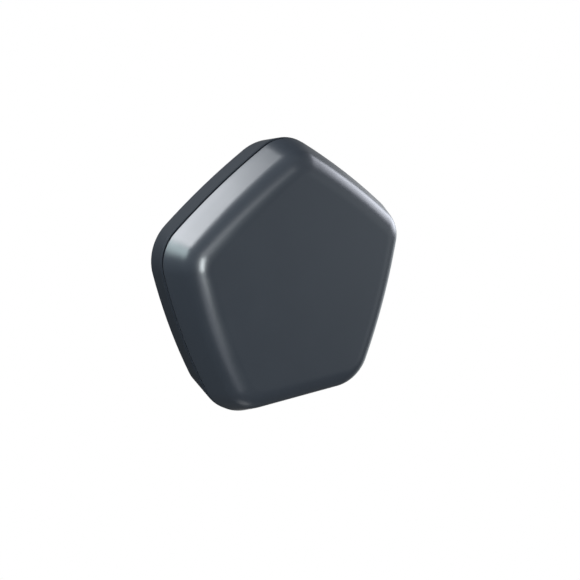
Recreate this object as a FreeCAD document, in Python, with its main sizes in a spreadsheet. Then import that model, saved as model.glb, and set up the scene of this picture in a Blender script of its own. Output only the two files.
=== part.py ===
import FreeCAD
import Part
import Sketcher
from FreeCAD import Placement, Rotation, Vector

import math
import os
import re

# A wireless temperature sensor for a wall: a five-sided box with bowed sides, whose front cover pulls
# straight off to reach two cells and a pairing button on the circuit board.
# Millimetres. The wall face lies at y = 0 and the front looks along -Y. +Z is up, +X is to the right
# of someone who looks at the front. A depth is measured from the wall towards the front, so y = -depth.

# Driving sizes, in millimetres and degrees
SIZES = {
    # Outline of the box at the parting line, seen from the front. A distance runs from the middle of the
    # outline to the middle of a side, and a bow radius is the large radius that the side swells with.
    "top_side_distance": 36.0,
    "lower_side_distance": 34.1,
    "base_side_distance": 34.9,
    "top_bow_radius": 201,
    "lower_bow_radius": 168,
    "top_corner_radius": 12.6,
    "side_corner_radius": 11.4,
    "base_corner_radius": 14.2,

    # How far the outline at the wall lies inside the one at the parting line, and its own corners
    "rear_top_inset": 0.86,
    "rear_lower_inset": 0.54,
    "rear_base_inset": 5.33,
    "rear_top_corner": 15.2,
    "rear_side_corner": 13.2,
    "rear_base_corner": 11.1,

    # Depths and the shape of the front cover, whose front stands clear of the cells
    "cell_room": 1.2,
    "parting_depth": 8.46,
    "parting_gap": 0.4,
    "front_draft": 24.7,
    "front_round": 7.2,
    "rim_round": 0.3,
    "rear_round": 0.8,

    # Walls, and the lip of the back shell that the cover slips over
    "front_wall": 1.9,
    "cover_wall": 1.9,
    "back_wall": 1.9,
    "shell_wall": 2.0,
    "lip_gap": 0.15,
    "lip_thickness": 1.05,
    "lip_height": 1.5,

    # Snap hooks that hold the cover
    "hook_width": 5.5,
    "hook_thickness": 1.2,
    "hook_gap": 0.25,
    "hook_tip_depth": 4.7,
    "hook_catch": 0.7,
    "hook_nose": 1.6,
    "hook_ramp": 1.1,
    "hook_seat": 0.05,
    "hook_room": 0.4,
    "cut_over": 1.0,

    # Circuit board, its seats and its screws
    "board_inset": 5.4,
    "board_top": 24.0,
    "board_bottom": 21.0,
    "board_thickness": 1.2,
    "board_corner": 5.0,
    "boss_height": 1.4,
    "boss_radius": 2.5,
    "screw_radius": 0.95,
    "screw_play": 0.05,
    "screw_reach": 2.0,
    "screw_head_radius": 1.9,
    "screw_head_height": 1.3,
    "screw_head_rim": 0.6,
    "screw_head_flat": 1.15,
    "screw_point": 0.4,
    "screw_drive_length": 2.2,
    "screw_drive_width": 0.5,
    "screw_drive_depth": 0.7,
    "board_hole_radius": 1.15,
    "side_screw_across": 28.5,
    "side_screw_up": 9.5,
    "top_screw_up": 20.5,
    "rest_across": 17.0,
    "rest_down": 15.0,

    # Narrow tongue of the board that carries the temperature chip over the air slots
    "tongue_across": 8.0,
    "tongue_width": 5.0,
    "tongue_down": 26.6,

    # Screw holes to the wall, above and below the board
    "wall_hole_radius": 2.0,
    "wall_hole_spacing": 53.0,
    "wall_holes_up": 2.0,
    "wall_head_radius": 3.6,
    "wall_head_recess": 0.5,

    # Air slots through the sloping underside of the back shell
    "slot_width": 1.2,
    "slot_pitch": 2.4,
    "slot_count": 5,
    "slot_start_depth": 3.0,
    "slot_end_depth": 7.0,

    # Two AAA cells side by side, head to tail, and the tray that holds them
    "cell_diameter": 10.5,
    "cell_length": 44.5,
    "tray_divider": 0.6,
    "upper_cell_up": -1.5,
    "cell_play": 0.1,
    "jacket_thickness": 0.2,
    "nub_radius": 1.9,
    "nub_height": 0.9,
    "nub_edge": 0.2,
    "can_wall": 0.4,
    "can_shoulder": 0.6,
    "can_crimp": 0.1,
    "jacket_overlap": 0.05,
    "end_cap_height": 1.2,
    "end_cap_edge": 0.4,
    "seal_thickness": 0.5,
    "seal_width": 0.75,
    "holder_floor": 0.7,
    "holder_height": 6.0,
    "holder_side_wall": 1.0,
    "holder_end_wall": 1.1,
    "holder_side_play": 0.2,
    "finger_notch": 16.0,
    "finger_notch_height": 3.4,
    "holder_peg_radius": 0.8,
    "holder_peg_across": 12.0,

    # Sheet metal contacts of the cells
    "contact_sheet": 0.3,
    "contact_width": 7.6,
    "contact_drop": 2.4,
    "contact_play": 0.1,
    "dimple_reach": 0.75,
    "dimple_radius": 1.6,
    "spring_reach": 1.8,
    "spring_strip": 0.25,
    "spring_width": 4.4,
    "tab_width": 1.6,
    "tab_hole_play": 0.3,
    "tab_stand_out": 0.7,

    # Ribs inside the cover that keep the cells down
    "rib_width": 1.2,
    "rib_across": 12.0,
    "rib_gap": 0.35,

    # Pairing button on the board
    "switch_across": -20.5,
    "switch_up": 12.0,
    "switch_width": 6.2,
    "switch_height": 3.3,
    "switch_corner": 0.6,
    "switch_plate": 0.25,
    "switch_plate_edge": 0.2,
    "plunger_radius": 1.7,
    "plunger_play": 0.05,
    "plunger_stem": 0.85,
    "plunger_bevel": 0.2,
    "plunger_stand_out": 1.2,
    "plunger_flange": 0.6,
    "plunger_flange_height": 0.5,
    "plunger_travel": 0.25,
    "plunger_foot": 1.2,

    # Leads and edges of the electronic packages, and small passives in rows
    "package_bevel": 0.1,
    "memory_chip_lead_count": 4,
    "voltage_regulator_lead_count": 2,
    "lead_reach": 1.0,
    "lead_width": 0.4,
    "lead_thickness": 0.2,
    "passive_pitch": 1.7,
    "passive_width": 1.6,
    "passive_height": 0.8,
    "capacitor_thickness": 0.8,
    "capacitor_row_across": 16.3,
    "capacitor_row_up": 9.2,
    "capacitor_count": 5,
    "resistor_row_across": -4.4,
    "resistor_row_up": 14.6,
    "resistor_count": 4,
    "resistor_thickness": 0.5,
    "bulk_width": 3.5,
    "bulk_height": 2.8,
    "bulk_thickness": 1.9,
    "bulk_across": -13.9,
    "bulk_up": 16.2,
    "bulk_pitch": 4.4,
    "bulk_count": 2,
    "sensor_chip_width": 2.0,
    "sensor_chip_thickness": 0.8,
    "sensor_chip_edge": 1.4,
}

# Electronic packages on the board: middle across and up, width, height, thickness and turn in degrees
PACKAGES = (
    ("radio_chip", 10.5, 13.5, 6.0, 6.0, 0.9, 0),
    ("radio_crystal", 10.5, 19.6, 3.2, 2.5, 0.8, 0),
    ("watch_crystal", 4.2, 18.2, 1.5, 3.2, 0.9, 0),
    ("memory_chip", 1.5, 11.8, 3.9, 4.9, 1.5, 0),
    ("voltage_regulator", -5.6, 10.4, 2.9, 1.6, 1.1, 0),
    ("power_inductor", -11.2, 10.6, 4.0, 4.0, 2.0, 0),
    ("chip_antenna", 21.4, 14.8, 7.0, 2.0, 1.2, 36),
    ("status_led", -13.6, 19.0, 1.6, 0.8, 0.7, 0),
)
for package, *numbers in PACKAGES:
    for quality, number in zip(("across", "up", "width", "height", "thickness", "turn"), numbers):
        SIZES[f"{package}_{quality}"] = number

# The sheet holds each driving size under its own name
doc = FreeCAD.newDocument("temperature_sensor")
sheet = doc.addObject("Spreadsheet::Sheet", "sizes")
for line, (name, number) in enumerate(SIZES.items(), start=1):
    sheet.set(f"A{line}", name)
    sheet.set(f"B{line}", str(number))
    sheet.setAlias(f"B{line}", name)
doc.recompute()


def on_sheet(formula):
    """The same formula with every size's name looked up in the sheet."""
    return re.sub(r"[a-z]\w*", lambda word: f"sizes.{word[0]}" if word[0] in SIZES else word[0], formula)


def amount(formula):
    """Number that a formula of sizes gives now."""
    return float(sheet.evalExpression(on_sheet(formula)))


# How close two places count as the same, and formulas that several pieces share
CLOSE = 0.01
BACK_RIM = "(parting_depth - parting_gap / 2)"
COVER_RIM = "(parting_depth + parting_gap / 2)"
RIM_WALL = "(cover_wall + lip_gap + lip_thickness)"
BOARD_BACK = "(back_wall + boss_height)"
BOARD_FRONT = "(back_wall + boss_height + board_thickness)"
HOLDER_INSIDE = f"({BOARD_FRONT} + holder_floor)"
CELL_AXIS = f"({HOLDER_INSIDE} + cell_play + cell_diameter / 2)"
CELL_FRONT = f"({CELL_AXIS} + cell_diameter / 2)"
COVER_INSIDE = f"({CELL_FRONT} + cell_room)"
TOTAL_DEPTH = f"({COVER_INSIDE} + front_wall)"
COVER_DEPTH = f"({TOTAL_DEPTH} - {COVER_RIM})"
BAY_WIDTH = "(cell_diameter + 2 * holder_side_play)"
CELL_PITCH = f"({BAY_WIDTH} + tray_divider)"
LOWER_CELL_UP = f"(upper_cell_up - {CELL_PITCH})"
BAY_HALF = "((cell_length + dimple_reach + spring_reach) / 2 + contact_sheet + contact_play)"
HOLDER_MIDDLE = f"(upper_cell_up - {CELL_PITCH} / 2)"


def bind(thing, name, formula):
    """Tie one property of an object to a formula of sizes."""
    thing.setExpression(name, on_sheet(formula))


def constrain(sketch, kind, where, formula):
    """Add one dimension to a sketch and tie it to a formula."""
    number = sketch.addConstraint(Sketcher.Constraint(kind, *where, amount(formula)))
    bind(sketch, f"Constraints[{number}]", formula)


def new_body(label, across="0", depth="0", up="0", turn="0"):
    """Empty body whose own origin stands at a place of the box, turned about the front-to-back axis."""
    body = doc.addObject("PartDesign::Body", label)
    body.Placement = Placement(Vector(), Rotation(Vector(0, 1, 0), 0))
    bind(body, "Placement.Base.x", across)
    bind(body, "Placement.Base.y", f"-({depth})")
    bind(body, "Placement.Base.z", up)
    bind(body, "Placement.Rotation.Angle", f"({turn}) * 1")
    return body


def new_sketch(body, offset="0", plane="XZ_Plane"):
    """Sketch on one of the body's own planes: the XZ one looks to the front, its offset is a depth."""
    sketch = body.newObject("Sketcher::SketchObject", f"{body.Name}_sketch")
    flat = [feature for feature in body.Origin.OriginFeatures if feature.Role == plane][0]
    sketch.AttachmentSupport = [(flat, "")]
    sketch.MapMode = "FlatFace"
    bind(sketch, "AttachmentOffset.Base.z", offset)
    return sketch


def circle(sketch, radius, across="0", up="0"):
    """Circle with its middle and radius tied to formulas."""
    middle = Vector(amount(across), amount(up), 0)
    index = sketch.addGeometry(Part.Circle(middle, Vector(0, 0, 1), amount(radius)), False)
    constrain(sketch, "Radius", (index,), radius)
    constrain(sketch, "DistanceX", (index, 3), across)
    constrain(sketch, "DistanceY", (index, 3), up)


def polygon(sketch, corners):
    """Closed run of straight lines through corners, each corner tied to its two formulas."""
    spots = [Vector(amount(across), amount(up), 0) for across, up in corners]
    first = sketch.GeometryCount
    for number, spot in enumerate(spots):
        sketch.addGeometry(Part.LineSegment(spot, spots[(number + 1) % len(spots)]), False)
    for number, (across, up) in enumerate(corners):
        following = first + (number + 1) % len(spots)
        sketch.addConstraint(Sketcher.Constraint("Coincident", first + number, 2, following, 1))
        constrain(sketch, "DistanceX", (first + number, 1), across)
        constrain(sketch, "DistanceY", (first + number, 1), up)


def rectangle(sketch, width, height, across="0", up="0"):
    """Upright rectangle about a middle."""
    left = f"({across}) - ({width}) / 2"
    right = f"({across}) + ({width}) / 2"
    low = f"({up}) - ({height}) / 2"
    high = f"({up}) + ({height}) / 2"
    polygon(sketch, ((left, low), (right, low), (right, high), (left, high)))


def pad(body, sketch, length, draft=None, both_ways=False, backwards=False):
    """Raise a sketch, by default towards the front, with sides that lean in by the draft angle."""
    feature = body.newObject("PartDesign::Pad", f"{body.Name}_pad")
    feature.Profile = sketch
    feature.Reversed = backwards
    feature.SideType = "Symmetric" if both_ways else "One side"
    bind(feature, "Length", length)
    if draft:
        bind(feature, "TaperAngle", f"-({draft})")
    return feature


def pocket(body, sketch, length, draft=None, backwards=True):
    """Cut a sketch out of the body, by default towards the front, and make sure that it cut something."""
    doc.recompute()
    volume = body.Shape.Volume
    feature = body.newObject("PartDesign::Pocket", f"{body.Name}_pocket")
    feature.Profile = sketch
    feature.Reversed = backwards
    bind(feature, "Length", length)
    if draft:
        bind(feature, "TaperAngle", f"-({draft})")
    doc.recompute()
    if body.Shape.Volume > volume - CLOSE:
        raise RuntimeError(f"{feature.Name} cut nothing")
    return feature


def revolve(body, sketch, axis):
    """Turn a sketch about one of its own axes."""
    feature = body.newObject("PartDesign::Revolution", f"{body.Name}_turned")
    feature.Profile = sketch
    feature.ReferenceAxis = (sketch, [axis])
    feature.Angle = 360
    return feature


def soften(body, radius, wanted, kind="Fillet"):
    """Round or bevel those edges of the body as it is now that the test picks."""
    doc.recompute()
    base = body.Tip
    names = [f"Edge{number + 1}" for number, edge in enumerate(base.Shape.Edges) if wanted(edge)]
    feature = body.newObject(f"PartDesign::{kind}", f"{body.Name}_{kind.lower()}")
    feature.Base = (base, names)
    bind(feature, "Radius" if kind == "Fillet" else "Size", radius)
    return feature


def at_depth(depth):
    """Test for edges that lie wholly at one depth of the body's own frame."""
    level = -amount(depth)

    def wanted(edge):
        box = edge.BoundBox
        return abs(box.YMin - level) < CLOSE and abs(box.YMax - level) < CLOSE

    return wanted


def front_to_back(edge):
    """Test for edges that run straight from front to back."""
    box = edge.BoundBox
    return box.YLength > CLOSE and box.XLength < CLOSE and box.ZLength < CLOSE


def group(label, pieces):
    """One sub-part of several separate solids."""
    compound = doc.addObject("Part::Compound", label)
    compound.Links = pieces
    return compound


# Five-sided outline. The sides face evenly spaced ways, and a corner follows each side.
UP = 90
SIDE_TURN = 360 // 5
UPPER_RIGHT = UP - SIDE_TURN // 2
UPPER_LEFT = UPPER_RIGHT + SIDE_TURN
LOWER_LEFT = UPPER_LEFT + SIDE_TURN
DOWN = LOWER_LEFT + SIDE_TURN
LOWER_RIGHT = DOWN + SIDE_TURN
SIDES = (
    (UPPER_RIGHT, "top"),
    (UPPER_LEFT, "top"),
    (LOWER_LEFT, "lower"),
    (DOWN, "base"),
    (LOWER_RIGHT, "lower"),
)
CORNERS = ("top_corner", "side_corner", "base_corner", "base_corner", "side_corner")
BOWS = {"top": "top_bow_radius", "lower": "lower_bow_radius"}
PARTING = {
    "top": "top_side_distance",
    "lower": "lower_side_distance",
    "base": "base_side_distance",
    "top_corner": "top_corner_radius",
    "side_corner": "side_corner_radius",
    "base_corner": "base_corner_radius",
}
REAR = {
    "top": "(top_side_distance - rear_top_inset)",
    "lower": "(lower_side_distance - rear_lower_inset)",
    "base": "(base_side_distance - rear_base_inset)",
    "top_corner": "rear_top_corner",
    "side_corner": "rear_side_corner",
    "base_corner": "rear_base_corner",
}
SOLVER_ROUNDS = 12


def inside(shape, inset):
    """The same outline moved in by a steady inset all round."""
    return {part: f"({formula} - ({inset}))" for part, formula in shape.items()}


def part_way(rear, front, share):
    """Outline on the straight walls that run from one outline to another."""
    return {part: f"({rear[part]} + ({front[part]} - {rear[part]}) * ({share}))" for part in rear}


def facing(angle):
    """Unit vector in the plane of a sketch."""
    return Vector(math.cos(math.radians(angle)), math.sin(math.radians(angle)), 0)


def reach(side, spot, shape):
    """Distance from a spot out to a side, and the way that the side faces there."""
    angle, family = side
    if family not in BOWS:
        return amount(shape[family]) - spot.dot(facing(angle)), facing(angle)
    centre = facing(angle) * amount(f"{PARTING[family]} - {BOWS[family]}")
    radius = amount(f"{BOWS[family]} - {PARTING[family]} + {shape[family]}")
    arm = spot - centre
    return radius - arm.Length, arm.normalize()


def corner_middle(before, after, radius, shape):
    """Middle of the arc that touches two sides from within."""
    spot = (facing(before[0]) + facing(after[0])) * (amount(shape["base"]) / 2)
    for _ in range(SOLVER_ROUNDS):
        gap_before, way_before = reach(before, spot, shape)
        gap_after, way_after = reach(after, spot, shape)
        cross = way_before.x * way_after.y - way_before.y * way_after.x
        move_before = gap_before - radius
        move_after = gap_after - radius
        along = (move_before * way_after.y - move_after * way_before.y) / cross
        upward = (way_before.x * move_after - way_after.x * move_before) / cross
        spot = spot + Vector(along, upward, 0)
    return spot


def arc(sketch, middle, radius, start, end):
    """Arc that runs anticlockwise from one spot to another."""
    ring = Part.Circle(middle, Vector(0, 0, 1), radius)
    angles = [math.atan2(spot.y - middle.y, spot.x - middle.x) for spot in (start, end)]
    return sketch.addGeometry(Part.ArcOfCircle(ring, *angles), False)


def outline(sketch, shape):
    """Draw the five sides and five corner arcs, tangent all the way round."""
    first = sketch.GeometryCount
    radii = [amount(shape[corner]) for corner in CORNERS]
    middles = []
    for number, side in enumerate(SIDES):
        middles.append(corner_middle(side, SIDES[(number + 1) % 5], radii[number], shape))
    for number, side in enumerate(SIDES):
        angle, family = side
        previous = (number - 1) % 5
        start = middles[previous] + reach(side, middles[previous], shape)[1] * radii[previous]
        end = middles[number] + reach(side, middles[number], shape)[1] * radii[number]
        following = SIDES[(number + 1) % 5]
        corner_end = middles[number] + reach(following, middles[number], shape)[1] * radii[number]
        if family in BOWS:
            centre = facing(angle) * amount(f"{PARTING[family]} - {BOWS[family]}")
            radius = f"{BOWS[family]} - {PARTING[family]} + {shape[family]}"
            index = arc(sketch, centre, amount(radius), start, end)
            constrain(sketch, "Radius", (index,), radius)
            away = f"({PARTING[family]} - {BOWS[family]})"
            constrain(sketch, "DistanceX", (index, 3), f"{away} * cos({angle})")
            constrain(sketch, "DistanceY", (index, 3), f"{away} * sin({angle})")
        else:
            index = sketch.addGeometry(Part.LineSegment(start, end), False)
            sketch.addConstraint(Sketcher.Constraint("Horizontal", index))
            constrain(sketch, "DistanceY", (index, 1), f"-{shape[family]}")
        index = arc(sketch, middles[number], radii[number], end, corner_end)
        constrain(sketch, "Radius", (index,), shape[CORNERS[number]])
    count = 2 * len(SIDES)
    for number in range(count):
        following = first + (number + 1) % count
        sketch.addConstraint(Sketcher.Constraint("Tangent", first + number, 2, following, 1))


nodes = []


def node(thing):
    """Note a finished sub-part, which is written under its label."""
    nodes.append(thing)
    return thing


# Front cover: a drafted shell with a large round along its front edge
cover = new_body("front_cover")
cover_outline = new_sketch(cover, COVER_RIM)
outline(cover_outline, PARTING)
pad(cover, cover_outline, COVER_DEPTH, draft="front_draft")
soften(cover, "front_round", at_depth(TOTAL_DEPTH))
soften(cover, "rim_round", at_depth(COVER_RIM))
cavity_outline = new_sketch(cover, COVER_RIM)
outline(cavity_outline, inside(PARTING, "cover_wall"))
pocket(cover, cavity_outline, f"{COVER_DEPTH} - front_wall", draft="front_draft")
soften(cover, "front_round - cover_wall", at_depth(COVER_INSIDE))
RIB_HEIGHT = "(cell_room - rib_gap)"
ribs = new_sketch(cover, f"{COVER_INSIDE} - {RIB_HEIGHT}")
for way in (-1, 1):
    rectangle(ribs, "rib_width", f"{CELL_PITCH} + cell_diameter / 2", f"{way} * rib_across", HOLDER_MIDDLE)
pad(cover, ribs, RIB_HEIGHT)
node(cover)

# Snap hooks of the cover, in the middle of the four upright sides. Each is drawn in a frame that is
# turned to its side, with its depth to the left and its distance from the middle of the box upwards.
HOOK_SIDES = [side for side in SIDES if side[1] in BOWS]
HOOK_TIP = "hook_tip_depth"
HOOK_TOP = "(hook_tip_depth + hook_nose)"
hooks = []
reliefs = []
for angle, family in HOOK_SIDES:
    distance = PARTING[family]
    outer = f"({distance} - {RIM_WALL} - hook_gap)"
    inner = f"({outer} - hook_thickness)"
    seat = f"({distance} - cover_wall - hook_seat)"
    outer_root = f"({COVER_RIM} + ({seat} - {outer}) / tan(front_draft))"
    inner_root = f"({COVER_RIM} + ({seat} - {inner}) / tan(front_draft))"
    hook = new_body(f"hook_{angle}", turn=f"90 - {angle}")
    profile = new_sketch(hook, plane="YZ_Plane")
    polygon(profile, (
        (f"-{HOOK_TIP}", inner),
        (f"-{HOOK_TIP}", outer),
        (f"-({HOOK_TIP} + hook_ramp)", f"{outer} + hook_catch"),
        (f"-{HOOK_TOP}", f"{outer} + hook_catch"),
        (f"-{HOOK_TOP}", outer),
        (f"-{outer_root}", outer),
        (f"-{inner_root}", inner),
    ))
    pad(hook, profile, "hook_width", both_ways=True)
    hooks.append(hook)
    relief = new_body(f"hook_relief_{angle}", turn=f"90 - {angle}")
    profile = new_sketch(relief, plane="YZ_Plane")
    catch_low = f"-({HOOK_TOP} + hook_gap)"
    catch_high = f"-({HOOK_TIP} - hook_gap)"
    catch_out = f"{outer} + hook_catch + hook_gap"
    polygon(profile, (
        (catch_low, inner),
        (catch_high, inner),
        (catch_high, catch_out),
        (catch_low, catch_out),
    ))
    lip_low = f"-({BACK_RIM} + lip_height + cut_over)"
    lip_high = f"-{BACK_RIM}"
    lip_in = f"{inner} - cut_over"
    lip_out = f"{distance} - cover_wall"
    polygon(profile, ((lip_low, lip_in), (lip_high, lip_in), (lip_high, lip_out), (lip_low, lip_out)))
    pad(relief, profile, "hook_width + 2 * hook_room", both_ways=True)
    reliefs.append(relief)
node(group("cover_hooks", hooks))

# Back shell: a tray whose walls run straight from the outline at the wall to the one at the rim. Each
# stage is a depth and an inset from that wall: the bends at the wall's edge follow a small round, and
# the last one breaks the rim's edge.
WALL_STAGES = (
    ("0", "rear_round"),
    ("rear_round * (1 - cos(45))", "rear_round * (1 - cos(45))"),
    ("rear_round", "0"),
    (f"({BACK_RIM} - rim_round)", "0"),
    (BACK_RIM, "rim_round"),
)
shell = new_body("back_moulding")
stages = []
for depth, inset in WALL_STAGES:
    stage = new_sketch(shell, depth)
    outline(stage, inside(part_way(REAR, PARTING, f"{depth} / {BACK_RIM}"), inset))
    stages.append(stage)
walls = shell.newObject("PartDesign::AdditiveLoft", "shell_walls")
walls.Profile = stages[0]
walls.Sections = stages[1:]
walls.Ruled = True
FLOOR_SHARE = f"(back_wall / {BACK_RIM})"
floor_sketch = new_sketch(shell, "back_wall")
outline(floor_sketch, inside(part_way(REAR, PARTING, FLOOR_SHARE), "shell_wall"))
mouth_sketch = new_sketch(shell, BACK_RIM)
outline(mouth_sketch, inside(PARTING, RIM_WALL))
doc.recompute()
solid_volume = shell.Shape.Volume
hollow = shell.newObject("PartDesign::SubtractiveLoft", "shell_hollow")
hollow.Profile = floor_sketch
hollow.Sections = [mouth_sketch]
hollow.Ruled = True
doc.recompute()
if shell.Shape.Volume > solid_volume - CLOSE:
    raise RuntimeError("the tray has no hollow")
lip = new_sketch(shell, BACK_RIM)
outline(lip, inside(PARTING, "cover_wall + lip_gap"))
outline(lip, inside(PARTING, RIM_WALL))
pad(shell, lip, "lip_height", draft="front_draft")

BOARD_SCREWS = (("-side_screw_across", "side_screw_up"), ("side_screw_across", "side_screw_up"),
                ("0", "top_screw_up"))
RESTS = (("-rest_across", "-rest_down"), ("rest_across", "-rest_down"))
bosses = new_sketch(shell, "back_wall")
for across, up in BOARD_SCREWS + RESTS:
    circle(bosses, "boss_radius", across, up)
pad(shell, bosses, "boss_height")
pilots = new_sketch(shell, f"{BOARD_FRONT} - screw_reach - board_thickness")
for across, up in BOARD_SCREWS:
    circle(pilots, "screw_radius + screw_play", across, up)
pocket(shell, pilots, "screw_reach + board_thickness")

WALL_HOLES = ("wall_holes_up - wall_hole_spacing / 2", "wall_holes_up + wall_hole_spacing / 2")
wall_holes = new_sketch(shell, "0")
head_seats = new_sketch(shell, "back_wall - wall_head_recess")
for up in WALL_HOLES:
    circle(wall_holes, "wall_hole_radius", "0", up)
    circle(head_seats, "wall_head_radius", "0", up)
pocket(shell, wall_holes, "back_wall")
pocket(shell, head_seats, "wall_head_recess")

SLOT_MIDDLE = "(slot_start_depth + slot_end_depth) / 2"
SLOT_LENGTH = "(slot_end_depth - slot_start_depth)"
SLOT_FIRST = "(-tongue_across - (slot_count - 1) / 2 * slot_pitch)"
air_slot = new_sketch(shell, "-base_side_distance", plane="XY_Plane")
rectangle(air_slot, "slot_width", SLOT_LENGTH, SLOT_FIRST, f"-{SLOT_MIDDLE}")
slot_cut = pocket(shell, air_slot, "rear_base_inset + shell_wall")
slots = shell.newObject("PartDesign::LinearPattern", "air_slots")
slots.Originals = [slot_cut]
slots.Direction = (air_slot, ["H_Axis"])
bind(slots, "Length", "(slot_count - 1) * slot_pitch")
bind(slots, "Occurrences", "slot_count")
shell.Tip = slots

back_shell = doc.addObject("Part::Cut", "back_shell")
back_shell.Base = shell
back_shell.Tool = group("hook_reliefs", reliefs)
node(back_shell)


def meeting(first, second):
    """Formulas of the spot where two straight lines cross, each given by its angle and distance."""
    (angle, distance), (other_angle, other_distance) = first, second
    slant = f"sin({other_angle - angle})"
    across = f"({distance} * sin({other_angle}) - {other_distance} * sin({angle})) / {slant}"
    up = f"({other_distance} * cos({angle}) - {distance} * cos({other_angle})) / {slant}"
    return across, up


# Circuit board: straight sides that follow the outline, cut off above and below for the wall screws,
# with a tongue at the lower left. It has holes for its screws, the contacts' tabs and the tray's pegs.
UPPER_EDGE = "(top_side_distance - board_inset)"
LOWER_EDGE = "(lower_side_distance - board_inset)"
TAB_ACROSS = f"({BAY_HALF} - contact_play / 2 - contact_sheet / 2)"
board = new_body("main_board")
board_outline = new_sketch(board, BOARD_BACK)
right_top = meeting((UPPER_RIGHT, UPPER_EDGE), (UP, "board_top"))
right_side = meeting((LOWER_RIGHT, LOWER_EDGE), (UPPER_RIGHT, UPPER_EDGE))
right_low = meeting((DOWN, "board_bottom"), (LOWER_RIGHT, LOWER_EDGE))
mirrored = [(f"-({across})", up) for across, up in (right_low, right_side, right_top)]
TONGUE_LEFT = "-tongue_across - tongue_width / 2"
TONGUE_RIGHT = "-tongue_across + tongue_width / 2"
polygon(board_outline, [right_low, right_side, right_top] + mirrored[::-1] + [
    (TONGUE_LEFT, "-board_bottom"),
    (TONGUE_LEFT, "-tongue_down"),
    (TONGUE_RIGHT, "-tongue_down"),
    (TONGUE_RIGHT, "-board_bottom"),
])
pad(board, board_outline, "board_thickness")
board_holes = new_sketch(board, BOARD_BACK)
for across, up in BOARD_SCREWS:
    circle(board_holes, "board_hole_radius", across, up)
for way in (-1, 1):
    for up in ("upper_cell_up", LOWER_CELL_UP):
        rectangle(board_holes, "contact_sheet + 2 * tab_hole_play", "tab_width + 2 * tab_hole_play",
                  f"{way} * {TAB_ACROSS}", up)
    circle(board_holes, "holder_peg_radius + tab_hole_play", f"{way} * holder_peg_across", HOLDER_MIDDLE)
pocket(board, board_holes, "board_thickness")
side_corner = amount(right_side[0])
soften(board, "board_corner", lambda edge: (
    front_to_back(edge) and abs(abs(edge.CenterOfMass.x) - side_corner) < CLOSE
))
node(board)

# Screws of the board: one turned piece each, with a cross cut into the head
screws = []
for number, (across, up) in enumerate(BOARD_SCREWS):
    screw = new_body(f"board_screw_{number + 1}", across, BOARD_FRONT, up)
    profile = new_sketch(screw, plane="XY_Plane")
    tip = "screw_reach + board_thickness - screw_play"
    polygon(profile, (
        ("0", tip),
        ("screw_radius - screw_point", tip),
        ("screw_radius", f"{tip} - screw_point"),
        ("screw_radius", "0"),
        ("screw_head_radius", "0"),
        ("screw_head_radius", "-screw_head_rim"),
        ("screw_head_flat", "-screw_head_height"),
        ("0", "-screw_head_height"),
    ))
    revolve(screw, profile, "V_Axis")
    for wide, tall in (("screw_drive_length", "screw_drive_width"),
                       ("screw_drive_width", "screw_drive_length")):
        cross = new_sketch(screw, "screw_head_height - screw_drive_depth")
        rectangle(cross, wide, tall)
        pocket(screw, cross, "screw_drive_depth")
    screws.append(screw)
node(group("board_screws", screws))

# Battery tray: a box with two bays, notches to lift the cells out, holes for the contacts' tabs and
# two pegs that place it on the board
holder = new_body("battery_holder")
holder_box = new_sketch(holder, BOARD_FRONT)
rectangle(holder_box, f"2 * ({BAY_HALF} + holder_end_wall)",
          f"{CELL_PITCH} + {BAY_WIDTH} + 2 * holder_side_wall", "0", HOLDER_MIDDLE)
pad(holder, holder_box, "holder_height")
bays = new_sketch(holder, HOLDER_INSIDE)
for up in ("upper_cell_up", LOWER_CELL_UP):
    rectangle(bays, f"2 * {BAY_HALF}", BAY_WIDTH, "0", up)
pocket(holder, bays, "holder_height")
bridge_slot = new_sketch(holder, HOLDER_INSIDE)
BRIDGE_ROOM = "(contact_sheet + 2 * contact_play)"
rectangle(bridge_slot, BRIDGE_ROOM, CELL_PITCH, f"-({BAY_HALF} - {BRIDGE_ROOM} / 2)", HOLDER_MIDDLE)
pocket(holder, bridge_slot, "holder_height")
notches = new_sketch(holder, f"{BOARD_FRONT} + holder_height - finger_notch_height")
rectangle(notches, "finger_notch", f"{CELL_PITCH} + {BAY_WIDTH} + 4 * holder_side_wall", "0", HOLDER_MIDDLE)
pocket(holder, notches, "finger_notch_height")
tab_holes = new_sketch(holder, BOARD_FRONT)
for up in ("upper_cell_up", LOWER_CELL_UP):
    for way in (-1, 1):
        rectangle(tab_holes, "contact_sheet + 2 * tab_hole_play", "tab_width + 2 * tab_hole_play",
                  f"{way} * {TAB_ACROSS}", up)
pocket(holder, tab_holes, "holder_floor")
pegs = new_sketch(holder, BOARD_BACK)
for way in (-1, 1):
    circle(pegs, "holder_peg_radius", f"{way} * holder_peg_across", HOLDER_MIDDLE)
pad(holder, pegs, "board_thickness")
node(holder)


def contact_plate(body, way, ups, middle, height):
    """Sheet metal against an end wall of the tray, with a tab under each cell through the board."""
    face = f"{way} * ({BAY_HALF} - contact_play / 2 - contact_sheet)"
    plate = new_sketch(body, face, plane="YZ_Plane")
    low = f"-{HOLDER_INSIDE}"
    high = f"-({CELL_FRONT} - contact_drop)"
    polygon(plate, (
        (high, f"{middle} - ({height}) / 2"),
        (low, f"{middle} - ({height}) / 2"),
        (low, f"{middle} + ({height}) / 2"),
        (high, f"{middle} + ({height}) / 2"),
    ))
    pad(body, plate, "contact_sheet", backwards=way < 0)
    tabs = new_sketch(body, face, plane="YZ_Plane")
    for up in ups:
        polygon(tabs, (
            (low, f"{up} - tab_width / 2"),
            (f"-({BOARD_BACK} - tab_stand_out)", f"{up} - tab_width / 2"),
            (f"-({BOARD_BACK} - tab_stand_out)", f"{up} + tab_width / 2"),
            (low, f"{up} + tab_width / 2"),
        ))
    pad(body, tabs, "contact_sheet", backwards=way < 0)


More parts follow.
